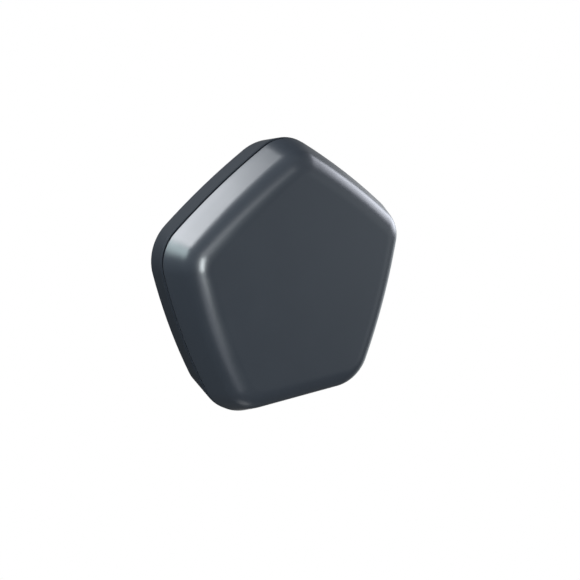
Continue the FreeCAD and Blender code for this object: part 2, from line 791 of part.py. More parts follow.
def dimple(body, way, up):
    """Round stud that meets a cell's nub."""
    start = f"{way} * ({BAY_HALF} - contact_play / 2 - contact_sheet)"
    stud = new_sketch(body, start, plane="YZ_Plane")
    circle(stud, "dimple_radius", f"-{CELL_AXIS}", up)
    pad(body, stud, "dimple_reach", backwards=way > 0)


def leaf(body, way, up):
    """Bowed strip that is joined to the plate near the front and presses on a cell's flat end."""
    face = f"({BAY_HALF} - contact_play / 2 - contact_sheet)"
    # how far the strip stands out, as a share of its reach, and where, as a share of the cell's radius
    bow = (("0", "0.62"), ("0.5", "0.5"), ("0.97", "0.16"), ("0.97", "-0.16"), ("0.4", "-0.6"))
    front = []
    back = []
    for far, along in bow:
        stand_out = f"{face} - spring_reach * {far}"
        depth = f"-({CELL_AXIS} + cell_diameter / 2 * {along})"
        front.append((f"{way} * ({stand_out})", depth))
        back.append((f"{way} * ({stand_out} + spring_strip)", depth))
    root = (f"{way} * {face}", back[1][1])
    strip = new_sketch(body, up, plane="XY_Plane")
    polygon(strip, front + back[:0:-1] + [root])
    pad(body, strip, "spring_width", both_ways=True)


contact_positive = new_body("contact_positive")
contact_plate(contact_positive, 1, ["upper_cell_up"], "upper_cell_up", "contact_width")
dimple(contact_positive, 1, "upper_cell_up")
node(contact_positive)

contact_negative = new_body("contact_negative")
contact_plate(contact_negative, 1, [LOWER_CELL_UP], LOWER_CELL_UP, "contact_width")
leaf(contact_negative, 1, LOWER_CELL_UP)
node(contact_negative)

contact_bridge = new_body("contact_bridge")
BRIDGE_HEIGHT = f"{CELL_PITCH} + contact_width"
contact_plate(contact_bridge, -1, ["upper_cell_up", LOWER_CELL_UP], HOLDER_MIDDLE, BRIDGE_HEIGHT)
leaf(contact_bridge, -1, "upper_cell_up")
dimple(contact_bridge, -1, LOWER_CELL_UP)
node(contact_bridge)

# Cells: each is drawn along X from the tip of its nub, then turned end for end where it lies reversed
NUB_TIP = f"({BAY_HALF} - contact_play / 2 - contact_sheet - dimple_reach - contact_play / 2)"
CAN_RADIUS = "(cell_diameter / 2 - jacket_thickness)"
CELLS = (("cell_1", 1, "upper_cell_up", 0), ("cell_2", -1, LOWER_CELL_UP, 180))


def turned_piece(label, way, up, turn, corners):
    """Round piece of a cell from its half section."""
    body = new_body(label, f"{way} * {NUB_TIP}", CELL_AXIS, up, f"{turn}")
    section = new_sketch(body, plane="XY_Plane")
    polygon(section, corners)
    revolve(body, section, "H_Axis")
    return node(body)


CAN_BORE = f"({CAN_RADIUS} - can_wall)"
END_CAP_RADIUS = f"({CAN_BORE} - seal_width)"
CAP_SEAT = "(-cell_length + end_cap_height)"
JACKET_START = "(-nub_height - can_shoulder - jacket_overlap)"
for cell, way, up, turn in CELLS:
    turned_piece(f"{cell}_can", way, up, turn, (
        ("0", "0"),
        ("0", "nub_radius - nub_edge"),
        ("-nub_edge", "nub_radius"),
        ("-nub_height", "nub_radius"),
        ("-nub_height", f"{CAN_RADIUS} - can_shoulder"),
        ("-nub_height - can_shoulder", CAN_RADIUS),
        ("-cell_length", CAN_RADIUS),
        ("-cell_length", CAN_BORE),
        (CAP_SEAT, CAN_BORE),
        (CAP_SEAT, "0"),
    ))
    turned_piece(f"{cell}_jacket", way, up, turn, (
        (JACKET_START, CAN_RADIUS),
        (JACKET_START, "cell_diameter / 2"),
        ("-cell_length", "cell_diameter / 2"),
        ("-cell_length", CAN_RADIUS),
    ))
    turned_piece(f"{cell}_seal", way, up, turn, (
        ("-cell_length + can_crimp", END_CAP_RADIUS),
        ("-cell_length + can_crimp", CAN_BORE),
        ("-cell_length + can_crimp + seal_thickness", CAN_BORE),
        ("-cell_length + can_crimp + seal_thickness", END_CAP_RADIUS),
    ))
    turned_piece(f"{cell}_end_cap", way, up, turn, (
        ("-cell_length", "0"),
        ("-cell_length", f"{END_CAP_RADIUS} - end_cap_edge"),
        ("-cell_length + end_cap_edge", END_CAP_RADIUS),
        (CAP_SEAT, END_CAP_RADIUS),
        (CAP_SEAT, "0"),
    ))


def package_body(label, across, up, width, height, thickness, turn="0"):
    """Moulded or metal package that sits flat on the board, with its top edges broken."""
    body = new_body(label, across, BOARD_FRONT, up, turn)
    base = new_sketch(body)
    rectangle(base, width, height)
    pad(body, base, thickness)
    soften(body, "package_bevel", at_depth(thickness), kind="Chamfer")
    return body


# Two packages have flat leads along both upright sides
for label, *_ in PACKAGES:
    package_width = f"{label}_width"
    package_height = f"{label}_height"
    package = package_body(label, f"{label}_across", f"{label}_up", package_width, package_height,
                           f"{label}_thickness", f"{label}_turn")
    if f"{label}_lead_count" in SIZES:
        leads = new_sketch(package)
        for number in range(int(amount(f"{label}_lead_count"))):
            up = f"{package_height} * (({number} + 0.5) / {label}_lead_count - 0.5)"
            rectangle(leads, f"{package_width} + 2 * lead_reach", "lead_width", "0", up)
        pad(package, leads, "lead_thickness")
    node(package)

capacitors = []
for number in range(int(amount("capacitor_count"))):
    up = f"capacitor_row_up + {number} * passive_pitch"
    capacitors.append(package_body(f"capacitor_{number + 1}", "capacitor_row_across", up,
                                   "passive_width", "passive_height", "capacitor_thickness"))
node(group("ceramic_capacitors", capacitors))

resistors = []
for number in range(int(amount("resistor_count"))):
    up = f"resistor_row_up + {number} * passive_pitch"
    resistors.append(package_body(f"resistor_{number + 1}", "resistor_row_across", up,
                                  "passive_width", "passive_height", "resistor_thickness"))
node(group("chip_resistors", resistors))

bulks = []
for number in range(int(amount("bulk_count"))):
    across = f"bulk_across + {number} * bulk_pitch"
    bulks.append(package_body(f"bulk_{number + 1}", across, "bulk_up",
                              "bulk_width", "bulk_height", "bulk_thickness"))
node(group("bulk_capacitors", bulks))

node(package_body("temperature_chip", "-tongue_across",
                  "-tongue_down + sensor_chip_edge + sensor_chip_width / 2",
                  "sensor_chip_width", "sensor_chip_width", "sensor_chip_thickness"))

# Pairing button: a square housing with a bore, a pressed plate over it and a flanged plunger
FLANGE_TOP = "(switch_height - plunger_play)"
FLANGE_RADIUS = "(plunger_radius + plunger_flange)"
housing = new_body("switch_housing", "switch_across", BOARD_FRONT, "switch_up")
housing_base = new_sketch(housing)
rectangle(housing_base, "switch_width", "switch_width")
pad(housing, housing_base, "switch_height")
soften(housing, "switch_corner", front_to_back, kind="Chamfer")
well = new_sketch(housing, "plunger_foot")
circle(well, f"{FLANGE_RADIUS} + plunger_play")
pocket(housing, well, "switch_height")
node(housing)

plate = new_body("switch_cover_plate", "switch_across", BOARD_FRONT, "switch_up")
plate_base = new_sketch(plate, "switch_height")
rectangle(plate_base, "switch_width - 2 * switch_plate_edge", "switch_width - 2 * switch_plate_edge")
circle(plate_base, "plunger_radius + plunger_play")
pad(plate, plate_base, "switch_plate")
node(plate)

plunger = new_body("switch_plunger", "switch_across", BOARD_FRONT, "switch_up")
section = new_sketch(plunger, plane="XY_Plane")
PLUNGER_TOP = "(switch_height + switch_plate + plunger_stand_out)"
PLUNGER_FOOT = "(plunger_foot + plunger_travel + plunger_play)"
polygon(section, (
    ("0", f"-{PLUNGER_FOOT}"),
    ("plunger_stem", f"-{PLUNGER_FOOT}"),
    ("plunger_stem", f"-({FLANGE_TOP} - plunger_flange_height)"),
    (FLANGE_RADIUS, f"-({FLANGE_TOP} - plunger_flange_height)"),
    (FLANGE_RADIUS, f"-{FLANGE_TOP}"),
    ("plunger_radius", f"-{FLANGE_TOP}"),
    ("plunger_radius", f"-({PLUNGER_TOP} - plunger_bevel)"),
    ("plunger_radius - plunger_bevel", f"-{PLUNGER_TOP}"),
    ("0", f"-{PLUNGER_TOP}"),
))
revolve(plunger, section, "V_Axis")
node(plunger)

# Build everything, make sure that nothing failed, and write each sub-part
doc.recompute()
for thing in doc.Objects:
    if "Invalid" in thing.State or "Error" in thing.State:
        raise RuntimeError(f"{thing.Label} failed: {thing.State}")
for thing in nodes:
    if thing.Shape.isNull() or not thing.Shape.isValid() or not thing.Shape.Solids:
        raise RuntimeError(f"{thing.Label} has no sound solid")

os.makedirs("parts", exist_ok=True)
for thing in nodes:
    thing.Shape.exportStep(f"parts/{thing.Label}.step")
    box = thing.Shape.BoundBox
    print(f"{thing.Label}: {len(thing.Shape.Solids)} solid(s), {thing.Shape.Volume:.1f} mm3, "
          f"{box.XLength:.1f} x {box.YLength:.1f} x {box.ZLength:.1f} mm")
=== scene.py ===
# %% [markdown]
# # A wireless temperature sensor
#
# The object is a small five-sided box of dark blue-grey plastic that hangs on a wall. A front
# cover with a large round along its edge meets a back shell at a thin dark seam. Behind the cover
# are a circuit board, a tray with two cells and a pairing button.
#
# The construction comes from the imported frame: every solid is already in place and at its real
# size, in metres, with the wall face at y = 0, the front towards -Y and +Z up. This lesson gives
# each surface its finish, adds the fine detail that solids leave out, and sets up a plain studio.

# %% Load the frame
import math

import bmesh
import bpy
from mathutils import Matrix, Vector


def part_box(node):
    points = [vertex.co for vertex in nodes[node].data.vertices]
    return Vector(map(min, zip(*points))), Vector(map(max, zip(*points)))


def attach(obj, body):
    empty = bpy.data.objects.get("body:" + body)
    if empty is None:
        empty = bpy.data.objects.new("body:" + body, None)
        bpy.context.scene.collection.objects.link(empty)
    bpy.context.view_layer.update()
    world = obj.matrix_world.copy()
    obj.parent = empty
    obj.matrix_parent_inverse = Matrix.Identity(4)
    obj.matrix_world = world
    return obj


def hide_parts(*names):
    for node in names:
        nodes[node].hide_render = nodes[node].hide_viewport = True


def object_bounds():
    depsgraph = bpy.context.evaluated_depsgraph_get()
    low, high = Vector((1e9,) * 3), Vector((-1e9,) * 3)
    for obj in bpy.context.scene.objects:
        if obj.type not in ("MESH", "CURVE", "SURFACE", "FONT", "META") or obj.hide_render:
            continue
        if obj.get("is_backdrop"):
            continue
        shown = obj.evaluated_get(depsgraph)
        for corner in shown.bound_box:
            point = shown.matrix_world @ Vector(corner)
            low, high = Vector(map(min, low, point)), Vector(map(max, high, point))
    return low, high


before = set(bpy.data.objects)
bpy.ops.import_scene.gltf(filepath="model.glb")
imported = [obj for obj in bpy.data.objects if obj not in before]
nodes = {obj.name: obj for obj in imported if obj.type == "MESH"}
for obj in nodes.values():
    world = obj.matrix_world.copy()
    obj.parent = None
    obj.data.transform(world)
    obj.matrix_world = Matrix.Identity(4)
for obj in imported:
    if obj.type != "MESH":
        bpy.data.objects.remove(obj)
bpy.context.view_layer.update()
MM = 0.001

# %% [markdown]
# ## Camera
#
# The camera stands to the left of the object and a little above it, close enough for some
# perspective. Its place is an azimuth, an elevation and a distance from the middle of the seam,
# and a small roll levels the picture. A picture 36 mm wide and the lens then give the photograph's
# framing.

# %% Place the camera
CAMERA_TARGET = Vector((0, -8.46 * MM, 0))
CAMERA_AZIMUTH = math.radians(-33.063)
CAMERA_ELEVATION = math.radians(15.732)
CAMERA_ROLL = math.radians(-0.869)
CAMERA_DISTANCE = 252 * MM
CAMERA_LENS = 55.81
CAMERA_SHIFT = (0.0090, -0.0121)
PICTURE_WIDTH = 36
NEAREST = 10 * MM


def put(name, data):
    """Object in the scene, made of a camera, a lamp or a mesh."""
    piece = bpy.data.objects.new(name, data)
    bpy.context.scene.collection.objects.link(piece)
    return piece


camera_data = bpy.data.cameras.new("camera")
camera_data.sensor_width = PICTURE_WIDTH
camera_data.lens = CAMERA_LENS
camera_data.shift_x, camera_data.shift_y = CAMERA_SHIFT
camera_data.clip_start = NEAREST
camera_back = Vector((
    math.sin(CAMERA_AZIMUTH) * math.cos(CAMERA_ELEVATION),
    -math.cos(CAMERA_AZIMUTH) * math.cos(CAMERA_ELEVATION),
    math.sin(CAMERA_ELEVATION),
))
camera = put("camera", camera_data)
camera.location = CAMERA_TARGET + camera_back * CAMERA_DISTANCE
camera.rotation_mode = "QUATERNION"
upright = camera_back.to_track_quat("Z", "Y")
camera.rotation_quaternion = upright @ Matrix.Rotation(CAMERA_ROLL, 3, "Z").to_quaternion()
bpy.context.scene.camera = camera
print("camera at", [round(value / MM) for value in camera.location], "mm")

# %% [markdown]
# ## Nodes in short words
#
# Lamps, the world and every finish are trees of nodes. A small builder places the nodes and joins
# them, so that each recipe reads from top to bottom. Wherever a socket asks for a value, the
# builder takes a number, a colour or the output of another node.

# %% Node builder
class Builder:
    """Places nodes in a tree and joins them."""

    def __init__(self, tree):
        self.tree = tree

    def feed(self, node, label, value):
        """Value on a socket, which is named or counted."""
        if isinstance(value, bpy.types.NodeSocket):
            self.tree.links.new(value, node.inputs[label])
        else:
            node.inputs[label].default_value = value

    def add(self, kind, settings=None, **sockets):
        """New node with its settings, and with values on its named sockets."""
        node = self.tree.nodes.new(kind)
        for label, value in (settings or {}).items():
            setattr(node, label, value)
        for label, value in sockets.items():
            self.feed(node, label.replace("_", " "), value)
        return node

    def pair(self, kind, operation, first, second):
        """Outputs of a node that works on two values."""
        node = self.add(kind, {"operation": operation})
        self.feed(node, 0, first)
        self.feed(node, 1, second)
        return node.outputs

    def maths(self, operation, first, second=0.0):
        """Result of a calculation with two numbers."""
        return self.pair("ShaderNodeMath", operation, first, second)[0]

    def dot(self, first, second):
        """How far two directions agree."""
        return self.pair("ShaderNodeVectorMath", "DOT_PRODUCT", first, second)["Value"]

    def axes(self, vector):
        """Outputs X, Y and Z of a vector."""
        return self.add("ShaderNodeSeparateXYZ", {}, Vector=vector).outputs

    def coordinates(self, kind="Object"):
        """Texture coordinates: the object's own, in metres, unless another kind is asked for."""
        return self.add("ShaderNodeTexCoord").outputs[kind]

    def noise(self, scale, detail=2.0, space=None):
        """Cloudy pattern between none and one."""
        node = self.add("ShaderNodeTexNoise", {}, Scale=scale, Detail=detail)
        self.feed(node, "Vector", space or self.coordinates())
        return node.outputs["Fac"]

    def spread(self, value, low, high, start=0.0, stop=1.0):
        """Value moved from one range to another, softly at both ends."""
        node = self.add("ShaderNodeMapRange", {"interpolation_type": "SMOOTHSTEP"}, Value=value,
                        From_Min=low, From_Max=high, To_Min=start, To_Max=stop)
        return node.outputs["Result"]

    def blend(self, share, first, second):
        """Mix of two colours, each of them three numbers or an output."""
        node = self.add("ShaderNodeMix", {"data_type": "RGBA"})
        self.feed(node, 0, share)
        for socket, colour in ((6, first), (7, second)):
            given = isinstance(colour, bpy.types.NodeSocket)
            self.feed(node, socket, colour if given else (*colour, 1))
        return node.outputs[2]

    def group(self, tree, **sockets):
        """Outputs of a node group that gets these values."""
        return self.add("ShaderNodeGroup", {"node_tree": tree}, **sockets).outputs

    def bump(self, shader, distance, height):
        """Relief on a shader: a height between none and one, times a distance."""
        node = self.add("ShaderNodeBump", {}, Strength=1.0, Distance=distance, Height=height)
        self.feed(shader, "Normal", node.outputs["Normal"])


# %% [markdown]
# ## Studio
#
# Satin plastic shows its shape by what it mirrors, so the studio is a dim room with a few soft
# lamps in chosen places and white behind the object. A wide box hangs overhead and to the left and
# makes the broad light band on the upper left side; its light fades along its width, and its edges
# are soft, so the band dies away before the top corner. A small blue-green card tints the band's
# lower end. A box on the right, soft at the back and at its long sides, draws the line along the
# upper right edge. A tall lamp in front gives the plain level of light, the line down the left
# round and the glint at the left corner. Two weak cards, in front and below, lift the face and the
# lower round a little.
#
# Each lamp is placed by the direction in which the object sees it. Its brightness is the radiance
# that a mirror would show, so a lamp can be made larger without making it brighter.

# %% Soft lamps
LAMP_DISTANCE = 0.9
HARD_EDGE = 0.001
COOL = (0.93, 0.96, 1.0)
TEAL = (0.80, 0.98, 1.0)
SKY = (0.87, 0.90, 1.0)
DAYLIGHT = (0.91, 0.98, 1.0)


def lamp(name, way, width, height, radiance, colour, fade=1.0, along=(1, 0, 0),
         soft_start=0.0, soft_end=0.0, soft_sides=0.0):
    """Soft box that faces the object. Its light fades along its width; its edges can be soft."""
    data = bpy.data.lights.new(name, "AREA")
    data.shape = "RECTANGLE"
    data.size = width
    data.size_y = height
    data.energy = radiance * math.pi * width * height
    data.color = colour
    data.use_nodes = True
    make = Builder(data.node_tree)
    spot = make.axes(make.add("ShaderNodeNewGeometry").outputs["Parametric"])
    level = make.add("ShaderNodeMapRange", {}, Value=spot["X"], To_Max=fade, To_Min=1.0)
    strength = level.outputs["Result"]
    for axis, dark, full in (("X", -HARD_EDGE, soft_start), ("X", 1 + HARD_EDGE, 1 - soft_end),
                             ("Y", -HARD_EDGE, soft_sides), ("Y", 1 + HARD_EDGE, 1 - soft_sides)):
        strength = make.maths("MULTIPLY", strength, make.spread(spot[axis], dark, full))
    make.feed(data.node_tree.nodes["Emission"], "Strength", strength)
    way = Vector(way).normalized()
    side = (Vector(along) - way * way.dot(Vector(along))).normalized()
    piece = put(name, data)
    piece.location = way * LAMP_DISTANCE
    piece.rotation_mode = "QUATERNION"
    piece.rotation_quaternion = Matrix((side, way.cross(side), way)).transposed().to_quaternion()
    print(f"{name}: {width} by {height} m, radiance {radiance}")


lamp("overhead_box", (-0.42, 0.33, 0.843), 0.72, 0.68, 15.6, COOL, 0.46, (0.88, 0.37, 0.29),
     soft_start=0.12, soft_end=0.30, soft_sides=0.22)
lamp("left_card", (-0.873, 0.190, 0.449), 0.50, 0.40, 8.4, TEAL, along=(-1, 0, 0), soft_end=0.5)
lamp("right_box", (0.98, 0.12, 0.17), 0.73, 0.68, 7.0, SKY, 0.5, (0, -1, 0),
     soft_start=0.3, soft_sides=0.26)
lamp("front_lamp", (-0.33, -0.93, -0.01), 0.22, 0.52, 33.5, DAYLIGHT, 0.45, (-1, 0, 0))
lamp("front_card", (-0.10, -0.88, 0.46), 0.56, 0.22, 4.0, COOL, 0.35)
lamp("low_card", (-0.38, -0.75, -0.54), 0.36, 0.40, 1.3, SKY)

# %% [markdown]
# ## White behind, dim around
#
# The world is white to the camera from every side. Mirroring surfaces see that white too, but only
# where the white sheet hangs, behind the object as the camera sees it. The rest of the room is a
# dim grey, lighter above than below, with two soft glows low on the right: one in front lightens
# the face towards that side, and one behind keeps the right edge from going black. A dark flag
# high on the right does the opposite: the top corner mirrors it, and so it stands out against the
# light band.

# %% World
ROOM_COLOUR = (0.9, 0.96, 1.0, 1)
ROOM_BELOW = 0.085
ROOM_ABOVE = 0.27
# A patch is a direction, two angles from it in degrees (none beyond, full within) and a strength.
FRONT_GLOW = ((0.80, -0.58, -0.16), 26, 4, 0.75)
SIDE_GLOW = ((0.86, 0.42, -0.28), 30, 6, 1.05)
DARK_FLAG = ((0.52, 0.32, 0.80), 38, 10, -0.2)
WHITE_SHEET = (-camera_back, 24, 14, 1.0)

world = bpy.data.worlds.new("studio")
bpy.context.scene.world = world
world.use_nodes = True
world.node_tree.nodes.clear()
sky = Builder(world.node_tree)
direction = sky.coordinates("Generated")


def patch(way, outer, inner, strength):
    """Light of a soft patch around a direction."""
    nearness = sky.dot(direction, Vector(way).normalized())
    outer, inner = math.cos(math.radians(outer)), math.cos(math.radians(inner))
    return sky.spread(nearness, outer, inner, 0.0, strength)


room_level = sky.spread(sky.axes(direction)["Z"], -0.6, 0.5, ROOM_BELOW, ROOM_ABOVE)
for glow in (FRONT_GLOW, SIDE_GLOW, DARK_FLAG):
    room_level = sky.maths("ADD", room_level, patch(*glow))
rays = sky.add("ShaderNodeLightPath").outputs
mirrored = sky.maths("MAXIMUM", rays["Is Glossy Ray"], rays["Is Transmission Ray"])
mirrored_sheet = sky.maths("MULTIPLY", mirrored, patch(*WHITE_SHEET))
whiteness = sky.maths("MAXIMUM", rays["Is Camera Ray"], mirrored_sheet)
room = sky.add("ShaderNodeBackground", {}, Color=ROOM_COLOUR, Strength=room_level)
white = sky.add("ShaderNodeBackground", {}, Color=(1, 1, 1, 1))
choice = sky.add("ShaderNodeMixShader", {}, Fac=whiteness)
sky.feed(choice, 1, room.outputs["Background"])
sky.feed(choice, 2, white.outputs["Background"])
sky.add("ShaderNodeOutputWorld", {}, Surface=choice.outputs["Shader"])
bpy.context.scene.view_settings.view_transform = "Standard"
print("world of", len(sky.tree.nodes), "nodes")

# %% [markdown]
# ## Floor
#
# The sensor hangs on a wall, so the floor lies far below it: a pale disc that the lamps light and
# that catches the object's faint shadow. Most of its white is added for the camera's own rays and
# for mirrored ones, as in the world, so it throws no extra light up at the object.

# %% Pale floor
FLOOR_DROP = 1.5
FLOOR_RADIUS = 0.24
FLOOR_SEGMENTS = 96
FLOOR_GLOW = 0.72
FLOOR_GREYS = ((0.80, 0.80, 0.80), (0.84, 0.84, 0.84))


def new_material(name):
    """Material with its builder and its shader, whose plain numbers are set on its own sockets."""
    material = bpy.data.materials.new(name)
    material.use_nodes = True
    return material, Builder(material.node_tree), material.node_tree.nodes["Principled BSDF"]


floor_paint, make, shader = new_material("floor_paint")
mottle = make.noise(3.0, space=make.coordinates("Generated"))
rays = make.add("ShaderNodeLightPath").outputs
seen = rays["Is Camera Ray"]
for other in ("Is Glossy Ray", "Is Transmission Ray"):
    seen = make.maths("MAXIMUM", seen, rays[other])
for label, value in (("Base Color", make.blend(mottle, *FLOOR_GREYS)), ("Roughness", 0.9),
                     ("Emission Color", (1, 1, 1, 1)),
                     ("Emission Strength", make.maths("MULTIPLY", seen, FLOOR_GLOW))):
    make.feed(shader, label, value)

disc = bmesh.new()
bmesh.ops.create_circle(disc, cap_ends=True, radius=FLOOR_RADIUS, segments=FLOOR_SEGMENTS)
bmesh.ops.translate(disc, verts=disc.verts, vec=(0, 0, -FLOOR_DROP))
floor_data = bpy.data.meshes.new("floor")
disc.to_mesh(floor_data)
disc.free()
floor_data.materials.append(floor_paint)
floor = put("floor", floor_data)
floor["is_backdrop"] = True
print("floor", FLOOR_DROP, "m below the object")

# %% [markdown]
# ## Five-sided outline
#
# Every ring of the box follows one outline: five sides, four of them slightly bowed, joined by
# round corners. A point of the outline and the way that it faces are enough to draw the same
# outline further in, because moving each point against its own facing keeps sides and corners
# parallel.

# %% Sides of the outline
TOP_DISTANCE = 36.0 * MM
LOWER_DISTANCE = 34.1 * MM
BASE_DISTANCE = 34.9 * MM
TOP_BOW = 201 * MM
LOWER_BOW = 168 * MM
TOP_CORNER = 12.6 * MM
SIDE_CORNER = 11.4 * MM
BASE_CORNER = 14.2 * MM
# A side is the way that it faces in degrees, its distance from the middle and its bow's radius.
SIDES = (
    (54, TOP_DISTANCE, TOP_BOW),
    (126, TOP_DISTANCE, TOP_BOW),
    (198, LOWER_DISTANCE, LOWER_BOW),
    (270, BASE_DISTANCE, None),
    (342, LOWER_DISTANCE, LOWER_BOW),
)
CORNERS = (TOP_CORNER, SIDE_CORNER, BASE_CORNER, BASE_CORNER, SIDE_CORNER)


def facing(degrees):
    """Unit vector in the plane of the front, across and up."""
    return Vector((math.cos(math.radians(degrees)), math.sin(math.radians(degrees))))


def reach(side, spot):
    """Distance from a spot out to a side, and the way that the side faces there."""
    angle, distance, bow = side
    if bow is None:
        return distance - spot.dot(facing(angle)), facing(angle)
    arm = spot - facing(angle) * (distance - bow)
    return bow - arm.length, arm.normalized()


print("sides face", [side[0] for side in SIDES], "degrees")

# %% Corner arcs
SOLVER_ROUNDS = 12


def corner_middle(before, after, radius):
    """Middle of the corner arc that touches two sides from within."""
    spot = (facing(before[0]) + facing(after[0])) * (BASE_DISTANCE / 2)
    for _ in range(SOLVER_ROUNDS):
        gap_before, way_before = reach(before, spot)
        gap_after, way_after = reach(after, spot)
        cross = way_before.x * way_after.y - way_before.y * way_after.x
        move_before = gap_before - radius
        move_after = gap_after - radius
        spot = spot + Vector((
            (move_before * way_after.y - move_after * way_before.y) / cross,
            (way_before.x * move_after - way_after.x * move_before) / cross,
        ))
    return spot


NEXT_SIDES = SIDES[1:] + SIDES[:1]
MIDDLES = [corner_middle(*corner) for corner in zip(SIDES, NEXT_SIDES, CORNERS)]
print("corner arcs turn around", [[round(value / MM, 1) for value in spot] for spot in MIDDLES])

# %% Walk round the outline
SIDE_STEPS = 44
CORNER_STEPS = 24


def outline():
    """Points of the outline at the seam, each with the way that it faces, anticlockwise."""
    ring = []
    for n, side in enumerate(SIDES):
        angle, distance, bow = side
        way_in = reach(side, MIDDLES[n - 1])[1]
        way_out = reach(side, MIDDLES[n])[1]
        way_on = reach(NEXT_SIDES[n], MIDDLES[n])[1]
        start = MIDDLES[n - 1] + way_in * CORNERS[n - 1]
        end = MIDDLES[n] + way_out * CORNERS[n]
        for step in range(SIDE_STEPS):
            spot = start.lerp(end, step / SIDE_STEPS)
            if bow is None:
                ring.append((spot, facing(angle)))
            else:
                centre = facing(angle) * (distance - bow)
                way = (spot - centre).normalized()
                ring.append((centre + way * bow, way))
        first = math.atan2(way_out.y, way_out.x)
        turn = (math.atan2(way_on.y, way_on.x) - first) % math.tau
        for step in range(CORNER_STEPS):
            way = facing(math.degrees(first + turn * step / CORNER_STEPS))
            ring.append((MIDDLES[n] + way * CORNERS[n], way))
    return ring


RING = outline()
ring_width = max(spot.x for spot, _ in RING) - min(spot.x for spot, _ in RING)
print(f"outline of {len(RING)} points, {ring_width / MM:.1f} mm wide")

# %% [markdown]
# ## Front cover
#
# The cover is one moulding: a fine round at the seam, a side that leans in so that it leaves the
# mould, a large round and a flat front, all hollow behind. The solid already has this shape, but
# its triangles show as ripples in a satin highlight. A mesh of even rings mirrors the lamps
# cleanly, so the cover is drawn again from the same sizes: each ring is the outline moved in by
# the wall's profile at that depth. A shadow gap is cut behind the rim, because two mouldings never
# meet in a perfect line and a maker hides that in a small dark step.

# %% Profile of the cover's wall
RIM_DEPTH = 8.66 * MM
FRONT_DEPTH = 18.9 * MM
COVER_WALL = 1.9 * MM
INSIDE_DEPTH = FRONT_DEPTH - COVER_WALL
DRAFT = math.radians(24.7)
SIDE_TURN = math.pi / 2 + DRAFT
FRONT_ROUND = 7.2 * MM
RIM_ROUND = 0.3 * MM
ROUND_STEPS = 22
RIM_STEPS = 6
HOLDING_EDGE = 0.25 * MM
GAP_WIDTH = 0.24 * MM
GAP_INSET = 1.1 * MM


def lean(depth):
    """How far the drafted side has moved in at a depth."""
    return (depth - RIM_DEPTH) * math.tan(DRAFT)


def bend(middle, radius, start, stop, steps, wall=0.0):
    """Pairs of inset and depth on an arc that touches the drafted side, or its inner face."""
    inset = lean(middle) + wall + radius / math.cos(DRAFT)
    pairs = []
    for step in range(steps + 1):
        turn = start + (stop - start) * step / steps
        pairs.append((inset - radius * math.sin(turn), middle - radius * math.cos(turn)))
    return pairs


inner_round = FRONT_ROUND - COVER_WALL
inside = bend(INSIDE_DEPTH - inner_round, inner_round, math.pi, SIDE_TURN, ROUND_STEPS, COVER_WALL)
rim = bend(RIM_DEPTH + GAP_WIDTH + RIM_ROUND, RIM_ROUND, 0, SIDE_TURN, RIM_STEPS)
front = bend(FRONT_DEPTH - FRONT_ROUND, FRONT_ROUND, SIDE_TURN, math.pi, ROUND_STEPS)
side_middle = ((rim[-1][0] + front[0][0]) / 2, (rim[-1][1] + front[0][1]) / 2)
COVER_PROFILE = [
    (inside[0][0] + HOLDING_EDGE, INSIDE_DEPTH),
    *inside,
    (COVER_WALL + lean(RIM_DEPTH + HOLDING_EDGE), RIM_DEPTH + HOLDING_EDGE),
    (COVER_WALL, RIM_DEPTH),
    (GAP_INSET, RIM_DEPTH),
    (GAP_INSET, RIM_DEPTH + GAP_WIDTH),
    *rim,
    side_middle,
    *front,
    (front[-1][0] + HOLDING_EDGE, FRONT_DEPTH),
]
print(f"profile of {len(COVER_PROFILE)} rings; flat front starts {front[-1][0] / MM:.2f} mm in")

# %% [markdown]
# A mesh of rings is a grid that closes on itself, with one flat face at each end. Edges that turn
# sharply stay sharp, and everything else is shaded smooth. The same small functions serve every
# piece that is made here: one skins rows of points, one stands a box in the mesh, and one links
# the object, sets the shading and says which body it rides on.

# %% Mesh helpers
SHARP_TURN = math.radians(35)


def piece_from(name, mesh_data, body, material, replaced=()):
    """Object from a bmesh, smooth but for sharp turns, riding on a body with its finish."""
    mesh = bpy.data.meshes.new(name)
    bmesh.ops.recalc_face_normals(mesh_data, faces=mesh_data.faces)
    mesh_data.to_mesh(mesh)
    mesh_data.free()
    mesh.shade_smooth()
    mesh.set_sharp_from_angle(angle=SHARP_TURN)
    mesh.materials.append(material)
    piece = put(name, mesh)
    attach(piece, body)
    if replaced:
        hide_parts(*replaced)
    print(f"{name}: {len(mesh.polygons)} faces")


def skin(mesh_data, rows):
    """Closed skin over rows of corners, which are a point across and up and a depth each."""
    rows = [[mesh_data.verts.new((spot.x, -depth, spot.y)) for spot, depth in row] for row in rows]
    for row, following in zip(rows, rows[1:]):
        for n in range(len(row)):
            beside = (n + 1) % len(row)
            mesh_data.faces.new((row[n], row[beside], following[beside], following[n]))
    mesh_data.faces.new(rows[0][::-1])
    mesh_data.faces.new(rows[-1])


def bar(mesh_data, low, high, bevel):
    """Box between two corners with broken edges, added to a mesh."""
    middle = (Vector(low) + Vector(high)) / 2
    spread = Vector(high) - Vector(low)
    made = bmesh.ops.create_cube(mesh_data, size=1)
    for vertex in made["verts"]:
        vertex.co = middle + vertex.co * spread
    edges = list({edge for vertex in made["verts"] for edge in vertex.link_edges})
    bmesh.ops.bevel(mesh_data, geom=edges, offset=bevel, segments=2, profile=0.5, affect="EDGES")


# %% [markdown]
# ## Moulded plastic
#
# Moulded plastic is not one flat colour. The pigment clouds a little, the gloss changes where the
# melt ran and where hands have been, the mould's own grain shows in the light, and edges rub paler
# and smoother. Each of these effects is a node group, so both halves of the housing and the
# plastic parts inside can use them with their own values. Coordinates are the object's own, in
# metres, so the grain keeps its real size. A scale of 1000 gives a pattern about a millimetre
# wide.

